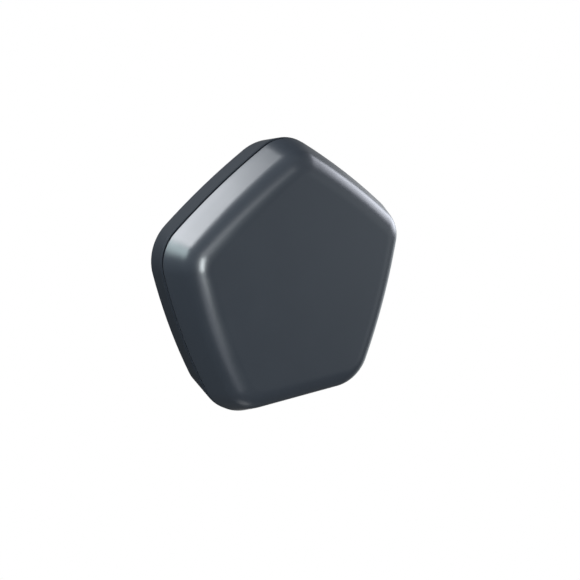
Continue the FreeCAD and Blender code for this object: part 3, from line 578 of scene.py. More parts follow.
# %% Grain, clouding and rubbed edges
def new_group(name, inputs, outputs):
    """Node group, its builder and what it is given. An input is a name and a starting number."""
    group = bpy.data.node_groups.new(name, "ShaderNodeTree")
    for label, number in inputs.items():
        socket = group.interface.new_socket(label, in_out="INPUT", socket_type="NodeSocketFloat")
        socket.default_value = number
    for label in outputs:
        group.interface.new_socket(label, in_out="OUTPUT", socket_type="NodeSocketFloat")
    make = Builder(group)
    return group, make, make.add("NodeGroupInput").outputs


def grain_group():
    """Texture that the mould leaves: pits of two sizes on a slow wave, as a height."""
    group, make, given = new_group("mould_grain", {"Pit Scale": 9000.0, "Waviness": 0.3},
                                   ["Height"])
    pits = make.add("ShaderNodeTexVoronoi", {"feature": "SMOOTH_F1"}, Vector=make.coordinates(),
                    Scale=given["Pit Scale"])
    finer = make.noise(make.maths("MULTIPLY", given["Pit Scale"], 1.7), 3.0)
    wave = make.maths("MULTIPLY", make.noise(900.0, 1.0), given["Waviness"])
    height = make.maths("ADD", make.maths("ADD", pits.outputs["Distance"], finer), wave)
    make.add("NodeGroupOutput", {}, Height=height)
    return group


def cloud_group():
    """Slow change of pigment and gloss over the moulding."""
    group, make, given = new_group("clouding", {"Cloud Scale": 45.0}, ["Pigment", "Gloss"])
    pigment = make.noise(given["Cloud Scale"], 3.0)
    speck = make.spread(make.noise(2600.0, 1.0), 0.55, 0.75, 0.0, 0.35)
    streak = make.noise(make.maths("MULTIPLY", given["Cloud Scale"], 3.1), 4.0)
    make.add("NodeGroupOutput", {}, Pigment=make.maths("ADD", pigment, speck),
             Gloss=make.spread(streak, 0.3, 0.7))
    return group


def edge_group():
    """Rubbed edges: where a softened normal departs from the true one, broken up by noise."""
    group, make, given = new_group("rubbed_edge", {"Width": 0.0004, "Strength": 3.0}, ["Mask"])
    softened = make.add("ShaderNodeBevel", {"samples": 6}, Radius=given["Width"])
    true_normal = make.add("ShaderNodeNewGeometry").outputs["Normal"]
    departure = make.maths("SUBTRACT", 1.0, make.dot(softened.outputs["Normal"], true_normal))
    broken = make.spread(make.noise(1400.0, 3.0), 0.35, 0.65, 0.4, 1.0)
    mask = make.maths("MULTIPLY", make.maths("MULTIPLY", departure, given["Strength"]), broken)
    make.add("NodeGroupOutput", {}, Mask=make.maths("MINIMUM", mask, 1.0))
    return group


GRAIN = grain_group()
CLOUDS = cloud_group()
EDGES = edge_group()
print("effects:", [group.name for group in bpy.data.node_groups])

# %% [markdown]
# A moulded plastic is then a short recipe: two near shades mixed by the pigment clouds, paler on
# the rubbed edges; roughness about a middle value, lower where the gloss is and where hands
# polished the edges; and the grain as a very shallow bump. The shader itself stays in the
# material, with its plain numbers set on its own sockets.

# %% Moulded plastic recipe
PLASTIC_IOR = 1.58
GLOSS_SHARE = 0.08
RUBBED_SHARE = 0.25
PALER_BASE = 0.01


def paler(colour, factor):
    """Shade of a colour where it has been rubbed."""
    return tuple(min(1.0, value * factor + PALER_BASE) for value in colour)


def moulded(name, dark, light, roughness, grain_depth, pit_scale=9000.0, edge_light=1.5,
            waviness=0.3, shine=0.5):
    """Pigmented plastic from a mould with a fine grain."""
    material, make, shader = new_material(name)
    clouds = make.group(CLOUDS)
    worn = make.group(EDGES)["Mask"]
    grain = make.group(GRAIN, Pit_Scale=pit_scale, Waviness=waviness)
    pigment = make.blend(clouds["Pigment"], dark, light)
    make.feed(shader, "Base Color", make.blend(worn, pigment, paler(light, edge_light)))
    gloss = make.maths("MULTIPLY", clouds["Gloss"], -GLOSS_SHARE * roughness)
    rubbed = make.maths("MULTIPLY", worn, -RUBBED_SHARE * roughness)
    change = make.maths("ADD", gloss, rubbed)
    make.feed(shader, "Roughness", make.maths("ADD", change, roughness * 1.06))
    make.feed(shader, "IOR", PLASTIC_IOR)
    make.feed(shader, "Specular IOR Level", shine)
    make.bump(shader, grain_depth, grain["Height"])
    return material


COVER_PLASTIC = moulded("cover_satin", (0.0206, 0.0244, 0.0314), (0.0250, 0.0296, 0.0376),
                        0.30, 0.35e-6)
SHELL_PLASTIC = moulded("shell_grained", (0.0082, 0.0110, 0.0160), (0.0122, 0.0160, 0.0224),
                        0.46, 4e-6, 5200.0, shine=0.29)

# %% Build the cover
RIB_ACROSS = 12 * MM
RIB_WIDTH = 1.2 * MM
RIB_MIDDLE_UP = -7.25 * MM
RIB_LENGTH = 16.75 * MM
RIB_HEIGHT = 0.85 * MM
ROOT = 0.1 * MM

cover_mesh = bmesh.new()
skin(cover_mesh, [[(spot - way * inset, depth) for spot, way in RING]
                  for inset, depth in COVER_PROFILE])
for way in (-1, 1):
    across = way * RIB_ACROSS
    low = (across - RIB_WIDTH / 2, -INSIDE_DEPTH - ROOT, RIB_MIDDLE_UP - RIB_LENGTH / 2)
    high = (across + RIB_WIDTH / 2, -INSIDE_DEPTH + RIB_HEIGHT, RIB_MIDDLE_UP + RIB_LENGTH / 2)
    bar(cover_mesh, low, high, ROOT)
piece_from("front_cover_skin", cover_mesh, "cover", COVER_PLASTIC, ["front_cover"])

# %% [markdown]
# ## Grained moulding inside and out
#
# The back shell has a coarser spark texture than the cover, so it looks flatter and hides marks
# from the wall. The battery tray is black nylon filled with glass, whose fibres swirl where the
# melt ran. The button's housing and its plunger are harder and glossier, and the cells' seals are
# pale nylon. The inductor's ferrite is no plastic, but it is pressed in a mould too. All of them
# are the same recipe with other numbers.

# %% Give the plain mouldings their finish
def finish_nodes(material, *names):
    """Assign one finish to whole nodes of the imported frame."""
    for name in names:
        nodes[name].data.materials.clear()
        nodes[name].data.materials.append(material)
    print(material.name, "on", ", ".join(names))


finish_nodes(SHELL_PLASTIC, "back_shell")
finish_nodes(COVER_PLASTIC, "front_cover", "cover_hooks")
finish_nodes(moulded("tray_nylon", (0.012, 0.012, 0.013), (0.026, 0.026, 0.027), 0.5, 4e-6,
                     4200.0, edge_light=2.2, waviness=1.2), "battery_holder")
finish_nodes(moulded("switch_nylon", (0.014, 0.014, 0.016), (0.020, 0.020, 0.022), 0.36, 1.5e-6),
             "switch_housing")
finish_nodes(moulded("plunger_nylon", (0.020, 0.020, 0.022), (0.030, 0.030, 0.032), 0.42, 2e-6,
                     edge_light=2.5), "switch_plunger")
finish_nodes(moulded("seal_nylon", (0.62, 0.58, 0.50), (0.72, 0.69, 0.62), 0.4, 1e-6,
                     edge_light=1.1), "cell_1_seal", "cell_2_seal")
finish_nodes(moulded("inductor_ferrite", (0.030, 0.030, 0.032), (0.075, 0.075, 0.078), 0.6, 9e-6,
                     3600.0, edge_light=1.6), "power_inductor")

# %% [markdown]
# ## Plated metal
#
# Screws, contacts, cans and caps are steel under a thin plating. Sheet and drawn metal carries
# fine lines along the way it was worked. One noise, stretched along that way, gives both the
# lines' height and a faint change of tone, and the plating is duller in slow patches where fingers
# touched it.

# %% Drawn lines and plated metal
FINE_LINES = 30000.0


def line_group():
    """Fine lines of drawn metal, as a height and as a tone. A small scale makes long lines."""
    group, make, given = new_group("drawn_lines", {"Across": FINE_LINES, "Deep": FINE_LINES,
                                                   "Up": FINE_LINES}, ["Height", "Tone"])
    parts = make.axes(make.coordinates())
    joined = make.add("ShaderNodeCombineXYZ")
    for axis, label in zip("XYZ", ("Across", "Deep", "Up")):
        make.feed(joined, axis, make.maths("MULTIPLY", parts[axis], given[label]))
    lines = make.noise(1.0, 3.0, joined.outputs["Vector"])
    patches = make.maths("MULTIPLY", make.spread(make.noise(420.0, 3.0), 0.35, 0.7), 0.5)
    tone = make.spread(make.maths("ADD", lines, patches), 0.4, 1.1)
    make.add("NodeGroupOutput", {}, Height=lines, Tone=tone)
    return group


LINES = line_group()
BRIGHTER = 1.15


def plated(name, dull, bright, roughness, across=FINE_LINES, deep=FINE_LINES, up=FINE_LINES,
           depth=0.6e-6):
    """Plated metal with fine worked lines, dull patches and brighter rubbed edges."""
    material, make, shader = new_material(name)
    lines = make.group(LINES, Across=across, Deep=deep, Up=up)
    worn = make.group(EDGES)["Mask"]
    rubbed = tuple(min(1.0, value * BRIGHTER) for value in bright)
    tone = make.blend(lines["Tone"], dull, bright)
    level = make.spread(lines["Tone"], 0.0, 1.0, roughness * 1.35, roughness * 0.8)
    make.feed(shader, "Base Color", make.blend(worn, tone, rubbed))
    make.feed(shader, "Metallic", 1.0)
    make.feed(shader, "Roughness", level)
    make.bump(shader, depth, lines["Height"])
    return material


SOLDER_TIN = plated("solder_tin", (0.50, 0.51, 0.52), (0.78, 0.79, 0.80), 0.30,
                    5000.0, 5000.0, 5000.0, 3e-6)
finish_nodes(plated("screw_zinc", (0.42, 0.45, 0.48), (0.66, 0.69, 0.73), 0.34, depth=1.2e-6),
             "board_screws")
finish_nodes(plated("contact_nickel", (0.46, 0.44, 0.40), (0.72, 0.70, 0.65), 0.28, deep=1500.0),
             "contact_positive", "contact_negative", "contact_bridge")
finish_nodes(plated("can_nickel", (0.50, 0.50, 0.49), (0.76, 0.76, 0.74), 0.24, across=1200.0),
             "cell_1_can", "cell_1_end_cap", "cell_2_can", "cell_2_end_cap")
finish_nodes(plated("plate_steel", (0.48, 0.48, 0.48), (0.74, 0.74, 0.73), 0.22, across=1500.0),
             "switch_cover_plate")

# %% [markdown]
# ## Packages with metal ends
#
# A small electronic package is ceramic, glaze or black epoxy with tinned metal at its ends or
# legs. Its solid is one piece, so the metal is a mask: everything further than a given distance
# from the package's middle, measured along one way. The same mask gives crystals their metal lid
# and flat chips their metal foot, measured from front to back.

# %% Mask beyond a distance, and packages
ACROSS = (1, 0, 0)
DEEP = (0, 1, 0)
RAGGED_EDGE = 0.06 * MM
TIN = ((0.60, 0.61, 0.62), (0.74, 0.75, 0.76))
PACKAGE_CLOUDS = 600.0
PACKAGE_EDGE = 0.12 * MM


def beyond_group():
    """One where a point lies further than a distance from a middle, measured along one way."""
    group, make, given = new_group("beyond", {"Across": 1.0, "Deep": 0.0, "Up": 0.0, "Middle": 0.0,
                                              "Distance": 0.0005}, ["Mask"])
    way = make.add("ShaderNodeCombineXYZ", {}, X=given["Across"], Y=given["Deep"], Z=given["Up"])
    along = make.dot(make.coordinates(), way.outputs["Vector"])
    off = make.maths("ABSOLUTE", make.maths("SUBTRACT", along, given["Middle"]))
    ragged = make.maths("MULTIPLY", make.noise(6000.0, 2.0), RAGGED_EDGE)
    past = make.maths("SUBTRACT", make.maths("ADD", off, ragged), given["Distance"])
    make.add("NodeGroupOutput", {}, Mask=make.spread(past, 0.02 * MM, 0.05 * MM))
    return group


BEYOND = beyond_group()


def packaged(name, dark, light, roughness, way, middles, distance, metal=TIN):
    """Package body with metal where a point lies beyond a distance from every middle on its way."""
    material, make, shader = new_material(name)
    clouds = make.group(CLOUDS, Cloud_Scale=PACKAGE_CLOUDS)
    worn = make.group(EDGES, Width=PACKAGE_EDGE)["Mask"]
    grain = make.group(GRAIN, Pit_Scale=7000.0)
    masks = [make.group(BEYOND, Across=way[0], Deep=way[1], Up=way[2], Middle=middle,
                        Distance=distance)["Mask"] for middle in middles]
    ends = masks[0]
    for mask in masks[1:]:
        ends = make.maths("MINIMUM", ends, mask)
    body = make.blend(clouds["Pigment"], dark, light)
    body = make.blend(worn, body, paler(light, 1.5))
    tin = make.blend(clouds["Gloss"], *metal)
    level = make.add("ShaderNodeMix", {"data_type": "FLOAT"})
    make.feed(level, 0, ends)
    make.feed(level, 2, make.spread(clouds["Gloss"], 0.0, 1.0, roughness * 1.05, roughness * 0.95))
    make.feed(level, 3, make.spread(clouds["Gloss"], 0.0, 1.0, 0.38, 0.30))
    make.feed(shader, "Base Color", make.blend(ends, body, tin))
    make.feed(shader, "Metallic", ends)
    make.feed(shader, "Roughness", level.outputs[0])
    make.bump(shader, 2e-6, grain["Height"])
    return material


def middle_of(name, way=ACROSS):
    """Middle of a node's box, measured along a way."""
    low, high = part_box(name)
    return ((low + high) / 2).dot(Vector(way))


# %% Chips and crystals
EPOXY = ((0.012, 0.012, 0.013), (0.022, 0.022, 0.024))
CRYSTAL_BASE = ((0.30, 0.25, 0.19), (0.38, 0.32, 0.25))
LID_METAL = ((0.60, 0.58, 0.54), (0.70, 0.68, 0.64))
MEMORY_BODY = 1.96 * MM
REGULATOR_BODY = 1.46 * MM
BOARD_FRONT = -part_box("main_board")[0].y
BASE_HEIGHT = 0.42 * MM
FOOT_HEIGHT = 0.2 * MM
# The middle of a foot's mask lies this far in front of the board, where no chip reaches.
FAR = 4 * MM
for name, body in (("memory_chip", MEMORY_BODY), ("voltage_regulator", REGULATOR_BODY)):
    finish_nodes(packaged(f"{name}_finish", *EPOXY, 0.5, ACROSS, [middle_of(name)], body), name)
for name in ("radio_chip", "temperature_chip"):
    finish_nodes(packaged(f"{name}_finish", *EPOXY, 0.46, DEEP, [-BOARD_FRONT - FAR],
                          FAR - FOOT_HEIGHT), name)
for name in ("radio_crystal", "watch_crystal"):
    finish_nodes(packaged(f"{name}_finish", *CRYSTAL_BASE, 0.5, DEEP, [-BOARD_FRONT],
                          BASE_HEIGHT, LID_METAL), name)

# %% Capacitors, resistors, antenna and light
PASSIVE_BODY = 0.48 * MM
BULK_BODY = 1.35 * MM
BULK_MIDDLES = (-13.9 * MM, -9.5 * MM)
ANTENNA_TURN = -36
ANTENNA_WAY = (facing(ANTENNA_TURN).x, 0, facing(ANTENNA_TURN).y)
ANTENNA_BODY = 2.9 * MM
for finish, dark, light, roughness, name in (
    ("capacitor_ceramic", (0.34, 0.22, 0.13), (0.46, 0.32, 0.20), 0.4, "ceramic_capacitors"),
    ("resistor_glaze", (0.010, 0.010, 0.012), (0.018, 0.018, 0.020), 0.2, "chip_resistors"),
    ("led_resin", (0.70, 0.66, 0.36), (0.82, 0.79, 0.50), 0.15, "status_led"),
):
    finish_nodes(packaged(finish, dark, light, roughness, ACROSS, [middle_of(name)],
                          PASSIVE_BODY), name)
finish_nodes(packaged("tantalum_resin", (0.52, 0.30, 0.05), (0.64, 0.40, 0.08), 0.38, ACROSS,
                      BULK_MIDDLES, BULK_BODY), "bulk_capacitors")
finish_nodes(packaged("antenna_ceramic", (0.66, 0.67, 0.67), (0.78, 0.79, 0.79), 0.35,
                      ANTENNA_WAY, [middle_of("chip_antenna", ANTENNA_WAY)], ANTENNA_BODY),
             "chip_antenna")

# %% [markdown]
# ## Cell jackets
#
# A cell's jacket is a printed film shrunk over the can. It gets a plain slate body, a pale band at
# the positive end with a thin line beside it, and the two generic polarity signs. The film is
# glossy, with the small ripples that shrinking leaves.

# %% Jacket film
JACKET_SLATE = ((0.020, 0.034, 0.046), (0.028, 0.045, 0.060))
JACKET_BAND = (0.50, 0.52, 0.52)
COAT_ROUGHNESS = 0.12
BAND_LENGTH = 9.0 * MM
LINE_MIDDLE = 10.2 * MM
LINE_WIDTH = 0.7 * MM
PLUS_MIDDLE = 14.7 * MM
MINUS_MIDDLE = 38.0 * MM
SIGN_HALF = 1.5 * MM
SIGN_STROKE = 0.3 * MM
PRINT_EDGE = 0.02 * MM
SIGN_DEPTH = BOARD_FRONT + 6 * MM


def jacket(name, tip, way, up):
    """Film of one cell. Bands are measured from the positive end, at tip and facing way."""
    material, make, shader = new_material(name)
    parts = make.axes(make.coordinates())
    along = make.maths("MULTIPLY", make.maths("SUBTRACT", parts["X"], tip), -way)
    height = make.maths("SUBTRACT", parts["Z"], up)
    front = make.maths("LESS_THAN", parts["Y"], -SIGN_DEPTH)

    def within(value, middle, half):
        """One where a value is within half of a middle."""
        off = make.maths("ABSOLUTE", make.maths("SUBTRACT", value, middle))
        return make.spread(off, half - PRINT_EDGE, half + PRINT_EDGE, 1.0, 0.0)

    pale = make.maths("MAXIMUM", within(along, BAND_LENGTH / 2, BAND_LENGTH / 2),
                      within(along, LINE_MIDDLE, LINE_WIDTH / 2))
    for middle, half_along, half_up in ((PLUS_MIDDLE, SIGN_HALF, SIGN_STROKE),
                                        (PLUS_MIDDLE, SIGN_STROKE, SIGN_HALF),
                                        (MINUS_MIDDLE, SIGN_STROKE, SIGN_HALF)):
        stroke = make.maths("MULTIPLY", within(along, middle, half_along),
                            within(height, 0.0, half_up))
        pale = make.maths("MAXIMUM", pale, make.maths("MULTIPLY", stroke, front))
    clouds = make.group(CLOUDS, Cloud_Scale=160.0)
    ripples = make.group(LINES, Across=500.0, Deep=2600.0, Up=2600.0)
    body = make.blend(clouds["Pigment"], *JACKET_SLATE)
    make.feed(shader, "Base Color", make.blend(pale, body, JACKET_BAND))
    make.feed(shader, "Roughness", make.spread(clouds["Gloss"], 0.0, 1.0, 0.31, 0.25))
    make.feed(shader, "Coat Weight", make.spread(make.noise(300.0), 0.3, 0.7, 0.6, 0.8))
    make.feed(shader, "Coat Roughness", COAT_ROUGHNESS)
    make.bump(shader, 8e-6, ripples["Height"])
    return material


for cell, way in (("cell_1_jacket", 1), ("cell_2_jacket", -1)):
    low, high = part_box(cell)
    tip = high.x if way > 0 else low.x
    finish_nodes(jacket(f"{cell}_film", tip, way, (low.z + high.z) / 2), cell)

# %% [markdown]
# ## Circuit board
#
# The board is glass laminate under a green solder mask. Its cut edge shows the laminate, which a
# mask on the face's own direction tells apart from the two coated sides. Copper tracks lie under
# the mask and stand a hair above it. They are modelled as thin strips with mitred corners, so that
# they catch the light as on a real board, and white corner marks show where each package belongs.

# %% Solder mask
LAMINATE = ((0.30, 0.27, 0.14), (0.46, 0.43, 0.26))


def board_coat(name, dark, light):
    """Green solder mask on the two sides, bare laminate on the cut edges."""
    material, make, shader = new_material(name)
    clouds = make.group(CLOUDS, Cloud_Scale=220.0)
    weave = make.group(LINES, Across=2600.0, Deep=9000.0, Up=2600.0)
    way = make.axes(make.add("ShaderNodeNewGeometry").outputs["True Normal"])
    coated = make.spread(make.maths("ABSOLUTE", way["Y"]), 0.4, 0.6)
    green = make.blend(clouds["Pigment"], dark, light)
    bare = make.blend(weave["Tone"], *LAMINATE)
    make.feed(shader, "Base Color", make.blend(coated, bare, green))
    make.feed(shader, "Roughness", make.spread(clouds["Gloss"], 0.0, 1.0, 0.33, 0.28))
    make.bump(shader, 4e-6, weave["Height"])
    return material


finish_nodes(board_coat("solder_mask", (0.004, 0.060, 0.030), (0.007, 0.085, 0.042)), "main_board")
COPPER_UNDER_MASK = board_coat("copper_under_mask", (0.012, 0.130, 0.060), (0.020, 0.165, 0.078))
WHITE_INK = moulded("white_ink", (0.70, 0.70, 0.68), (0.78, 0.78, 0.76), 0.5, 1e-6, edge_light=1.0)

# %% Routes of the tracks
FINE = 0.2 * MM
WIDE = 0.9 * MM
# A route is its spots in millimetres across and up, how many tracks follow it at what pitch in
# millimetres, their width, and which of its ends have vias.
ROUTES = (
    (((7.3, 13.0), (6.3, 13.0), (5.3, 12.0), (4.6, 12.0)), 4, 0.65, FINE, ""),
    (((13.7, 12.6), (15.1, 12.6)), 4, 1.0, FINE, ""),
    (((9.9, 16.7), (9.9, 18.2)), 2, 0.9, FINE, ""),
    (((7.3, 15.6), (6.1, 16.8), (4.9, 16.8)), 2, 0.5, FINE, "end"),
    (((17.3, 16.0), (18.4, 17.1), (18.9, 17.1)), 1, 0.5, WIDE / 2, "end"),
    (((17.3, 10.9), (19.6, 10.9), (21.6, 8.9), (27.2, 8.9)), 3, 0.55, FINE, "end"),
    (((-1.7, 12.4), (-2.6, 13.3), (-3.3, 15.2)), 2, 0.6, FINE, ""),
    (((-3.0, 10.4), (-1.2, 8.6), (6.5, 8.6), (7.9, 10.0)), 2, 0.5, FINE, ""),
    (((-8.3, 10.4), (-9.1, 10.4)), 1, 1.0, WIDE, ""),
    (((-13.4, 10.6), (-14.4, 11.6), (-14.4, 14.6)), 1, 1.0, WIDE, ""),
    (((-9.5, 12.8), (-9.5, 14.6)), 1, 1.0, WIDE, ""),
    (((-12.6, 19.0), (-7.6, 19.0), (-6.9, 19.7), (-5.4, 19.7)), 1, 0.5, FINE, ""),
    (((-5.4, 17.2), (-11.0, 17.2), (-12.6, 18.2)), 2, 0.5, FINE, "end"),
    (((-16.9, 10.0), (-15.6, 8.2), (-9.0, 8.2), (-8.2, 9.0)), 2, 0.5, FINE, ""),
    (((-24.6, 14.0), (-26.6, 12.0), (-26.6, -16.4), (-22.2, -20.8), (-12.4, -20.8), (-9.4, -23.8)),
     3, 0.7, FINE, "start"),
    (((25.0, -1.5), (27.0, 0.5), (27.0, 5.2), (25.2, 7.0), (21.0, 7.0), (18.8, 9.2), (17.4, 9.2)),
     1, 1.0, WIDE, ""),
    (((25.0, -13.0), (26.6, -14.6), (26.6, -16.2), (22.6, -20.2), (8.0, -20.2)),
     2, 1.3, WIDE / 2, "end"),
    (((1.0, 16.2), (1.0, 17.6), (-1.6, 20.2), (-1.6, 22.0)), 2, 0.6, FINE, "start end"),
    (((19.0, 6.0), (12.0, 6.0), (10.6, 7.4), (10.6, 10.2)), 3, 0.5, FINE, "start"),
)
print(len(ROUTES), "routes carry", sum(route[1] for route in ROUTES), "tracks")

# %% Tracks and vias
TRACK_HEIGHT = 0.035 * MM
SUNK = 0.01 * MM
# A via's rows: radius in millimetres, and share of a track's height.
VIA_ROWS = ((0.3, 0.0), (0.28, 1.0), (0.16, 1.2), (0.1, 0.3))
VIA_STEP = 30


def mitres(spots):
    """Vector to the side at each spot of a route, long enough to keep its width round corners."""
    ways = [(after - before).normalized() for before, after in zip(spots, spots[1:])]
    return [Vector((-before.y - after.y, before.x + after.x)) / (1 + before.dot(after))
            for before, after in zip(ways[:1] + ways, ways + ways[-1:])]


def flat_row(middle, beside, low, top):
    """Row of four corners: to both sides of a middle, each at two depths."""
    return [(middle - beside, low), (middle - beside, top), (middle + beside, top),
            (middle + beside, low)]


def round_row(middle, radius, depth, step):
    """Row of corners around a middle, one at every step of degrees."""
    return [(middle + facing(turn) * radius, depth) for turn in range(0, 360, step)]


def strip(mesh_data, spots, width, base, height):
    """Thin strip with mitred corners through spots, which are millimetres across and up."""
    spots = [Vector(spot) * MM for spot in spots]
    skin(mesh_data, [flat_row(spot, beside * (width / 2), base - SUNK, base + height)
                     for spot, beside in zip(spots, mitres(spots))])


def bus(mesh_data, spots, count, pitch, width, vias):
    """Parallel tracks at their own distances from a route, with vias at its start, end or both."""
    spots = [Vector(spot) for spot in spots]
    for lane in range(count):
        shift = (lane - (count - 1) / 2) * pitch
        moved = [spot + beside * shift for spot, beside in zip(spots, mitres(spots))]
        strip(mesh_data, moved, width, BOARD_FRONT, TRACK_HEIGHT)
        for end, spot in (("start", moved[0]), ("end", moved[-1])):
            if end in vias:
                skin(mesh_data, [round_row(spot * MM, radius * MM, BOARD_FRONT - SUNK
                                           + tall * (TRACK_HEIGHT + SUNK), VIA_STEP)
                                 for radius, tall in VIA_ROWS])


tracks = bmesh.new()
for route in ROUTES:
    bus(tracks, *route)
piece_from("board_tracks", tracks, "base", COPPER_UNDER_MASK)

# %% Seats of the packages
PASSIVE_PITCH = 1.7 * MM
PASSIVE_HALF = (0.8 * MM, 0.4 * MM)
BULK_HALF = (1.75 * MM, 1.4 * MM)
ANTENNA_HALF = (3.5 * MM, 1.0 * MM)


def extent(name):
    """Middle of a node's box across and up, and half of its size each way."""
    low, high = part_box(name)
    middle, half = (low + high) / 2, (high - low) / 2
    return middle.x, middle.z, half.x, half.z


# A seat is where one package sits: its middle, half of its size each way and its turn in degrees.
SEATS = {name: [(*extent(name), 0)] for name in (
    "radio_chip", "radio_crystal", "watch_crystal", "memory_chip", "voltage_regulator",
    "power_inductor", "status_led", "temperature_chip", "switch_housing")}
for name, count in (("ceramic_capacitors", 5), ("chip_resistors", 4)):
    across, up, _, half_up = extent(name)
    first = up - half_up + PASSIVE_HALF[1]
    SEATS[name] = [(across, first + n * PASSIVE_PITCH, *PASSIVE_HALF, 0) for n in range(count)]
bulk_up = extent("bulk_capacitors")[1]
SEATS["bulk_capacitors"] = [(middle, bulk_up, *BULK_HALF, 0) for middle in BULK_MIDDLES]
SEATS["chip_antenna"] = [(*extent("chip_antenna")[:2], *ANTENNA_HALF, ANTENNA_TURN)]
print(sum(len(seats) for seats in SEATS.values()), "packages sit on the board")

# %% Corner marks
MARK_GAP = 0.4 * MM
MARK_LEG = 0.7 * MM
INK_WIDTH = 0.13 * MM
INK_HEIGHT = 0.02 * MM


def turned(seat, along, beside):
    """Millimetre spot beside a seat's middle, in the seat's own turned directions."""
    across, up, _, _, turn = seat
    way = facing(turn)
    return ((across + way.x * along - way.y * beside) / MM,
            (up + way.y * along + way.x * beside) / MM)


marks = bmesh.new()
for name in ("radio_chip", "memory_chip", "power_inductor", "switch_housing", "bulk_capacitors",
             "chip_antenna", "status_led", "radio_crystal", "temperature_chip"):
    for seat in SEATS[name]:
        for way, side in ((-1, -1), (-1, 1), (1, -1), (1, 1)):
            along = way * (seat[2] + MARK_GAP)
            beside = side * (seat[3] + MARK_GAP)
            strip(marks, [turned(seat, along - way * MARK_LEG, beside),
                          turned(seat, along, beside),
                          turned(seat, along, beside - side * MARK_LEG)],
                  INK_WIDTH, BOARD_FRONT, INK_HEIGHT)
piece_from("board_marks", marks, "base", WHITE_INK)

# %% [markdown]
# ## Solder
#
# Solder climbs each metal end in a small hollow slope. A slope is a strip of falling heights,
# pulled in a little at its foot. The chips without legs have a row of them around their edge.

# %% Shape of a slope
# A slope's rows: shares of its length, its height and its width.
SLOPE_ROWS = ((-0.15, 1.0, 1.0), (0.0, 1.0, 1.0), (0.25, 0.45, 1.0), (0.6, 0.17, 0.96),
              (1.0, 0.05, 0.8))


def slope(mesh_data, spot, way, width, length, height):
    """Hollow slope of solder from a metal end down to the board. All are in millimetres."""
    beside = Vector((-way.y, way.x)) * (width * MM / 2)
    skin(mesh_data, [flat_row((Vector(spot) + way * (length * far)) * MM, beside * share,
                              BOARD_FRONT - SUNK, BOARD_FRONT + height * tall * MM)
                     for far, tall, share in SLOPE_ROWS])


print("a slope has", len(SLOPE_ROWS), "rows of four corners")

# %% Rows of joints
# A row of joints is its node, how many there are, and their pitch, width, length and height in
# millimetres.
END_JOINTS = (
    ("ceramic_capacitors", 1, 0, 0.75, 0.45, 0.5),
    ("chip_resistors", 1, 0, 0.75, 0.4, 0.3),
    ("bulk_capacitors", 1, 0, 2.0, 0.6, 0.7),
    ("status_led", 1, 0, 0.7, 0.4, 0.35),
    ("power_inductor", 1, 0, 2.8, 0.5, 0.6),
    ("chip_antenna", 1, 0, 1.6, 0.6, 0.6),
    ("memory_chip", 4, 4.9 / 4, 0.55, 0.45, 0.16),
    ("voltage_regulator", 2, 0.8, 0.5, 0.45, 0.16),
    ("radio_chip", 9, 0.6, 0.3, 0.3, 0.22),
    ("temperature_chip", 3, 0.6, 0.3, 0.25, 0.2),
    ("switch_housing", 2, 4.5, 0.8, 0.8, 0.5),
    ("radio_crystal", 2, 1.6, 0.7, 0.25, 0.2),
)
SIDE_JOINTS = (
    ("radio_chip", 9, 0.6, 0.3, 0.3, 0.22),
    ("watch_crystal", 1, 0, 1.2, 0.4, 0.35),
)


def joints(mesh_data, at_ends, name, count, pitch, width, length, height):
    """Rows of slopes at both ends of each of a node's packages, or along both their sides."""
    for seat in SEATS[name]:
        for edge in (-1, 1):
            for n in range(count):
                shift = (n - (count - 1) / 2) * pitch * MM
                if at_ends:
                    spot, way = turned(seat, edge * seat[2], shift), facing(seat[4])
                else:
                    spot, way = turned(seat, shift, edge * seat[3]), facing(seat[4] + 90)
                slope(mesh_data, spot, way * edge, width, length, height)


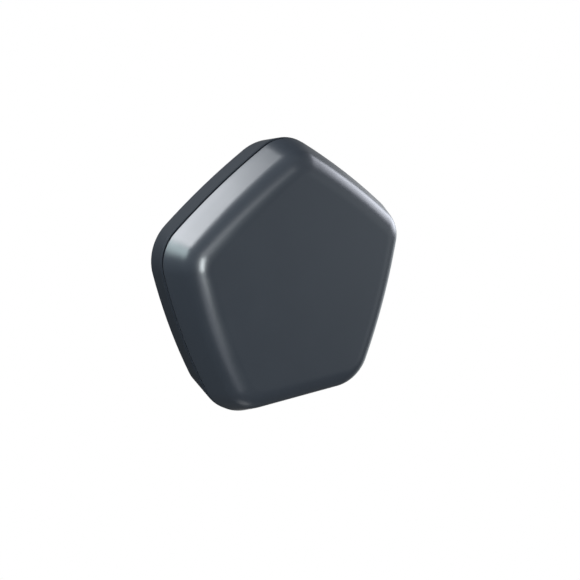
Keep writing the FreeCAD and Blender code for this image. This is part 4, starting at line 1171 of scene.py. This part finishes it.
solder = bmesh.new()
for row in END_JOINTS:
    joints(solder, True, *row)
for row in SIDE_JOINTS:
    joints(solder, False, *row)
piece_from("solder_joints", solder, "base", SOLDER_TIN)

# %% [markdown]
# ## Dots and a printed aerial
#
# A chip has a small round dot by its first leg, so that it is not soldered the wrong way round.
# The ceramic aerial is a block with a fired metal track that folds to and fro over its face. Both
# are so thin that they could be painted by a mask, but as geometry they also stay in an exported
# mesh.

# %% Dots on the chips
DOT_RADIUS = 0.28 * MM
DOT_HEIGHT = 0.012 * MM
DOT_STEP = 20
DOT_INK = moulded("dot_ink", (0.20, 0.20, 0.20), (0.27, 0.27, 0.27), 0.55, 1e-6, edge_light=1.1)
dots = bmesh.new()
for name, inward in (("radio_chip", 0.85 * MM), ("memory_chip", 0.8 * MM),
                     ("temperature_chip", 0.55 * MM)):
    across, up, half_across, half_up, _ = SEATS[name][0]
    if name == "memory_chip":
        half_across = min(half_across, MEMORY_BODY)
    middle = Vector((across - half_across + inward, up + half_up - inward))
    top = -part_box(name)[0].y
    skin(dots, [round_row(middle, DOT_RADIUS * share, top + height, DOT_STEP)
                for share, height in ((1.0, -SUNK), (1.0, DOT_HEIGHT / 2), (0.9, DOT_HEIGHT))])
piece_from("chip_dots", dots, "base", DOT_INK)

# %% Aerial's track
MEANDER_RUNS = 9
MEANDER_PITCH = 0.55 * MM
MEANDER_HALF = 0.65 * MM
MEANDER_WIDTH = 0.2 * MM
antenna = SEATS["chip_antenna"][0]
antenna_top = -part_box("chip_antenna")[0].y
meander = []
for n in range(MEANDER_RUNS):
    along = (n - (MEANDER_RUNS - 1) / 2) * MEANDER_PITCH
    start = -MEANDER_HALF if n % 2 else MEANDER_HALF
    meander += [turned(antenna, along, start), turned(antenna, along, -start)]
aerial = bmesh.new()
strip(aerial, meander, MEANDER_WIDTH, antenna_top, INK_HEIGHT)
piece_from("antenna_track", aerial, "base", SOLDER_TIN)

# %% [markdown]
# ## Sizes
#
# The finish must not change the object's size, so the box of the dressed model is measured.

# %% Measure the dressed model's box
low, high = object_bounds()
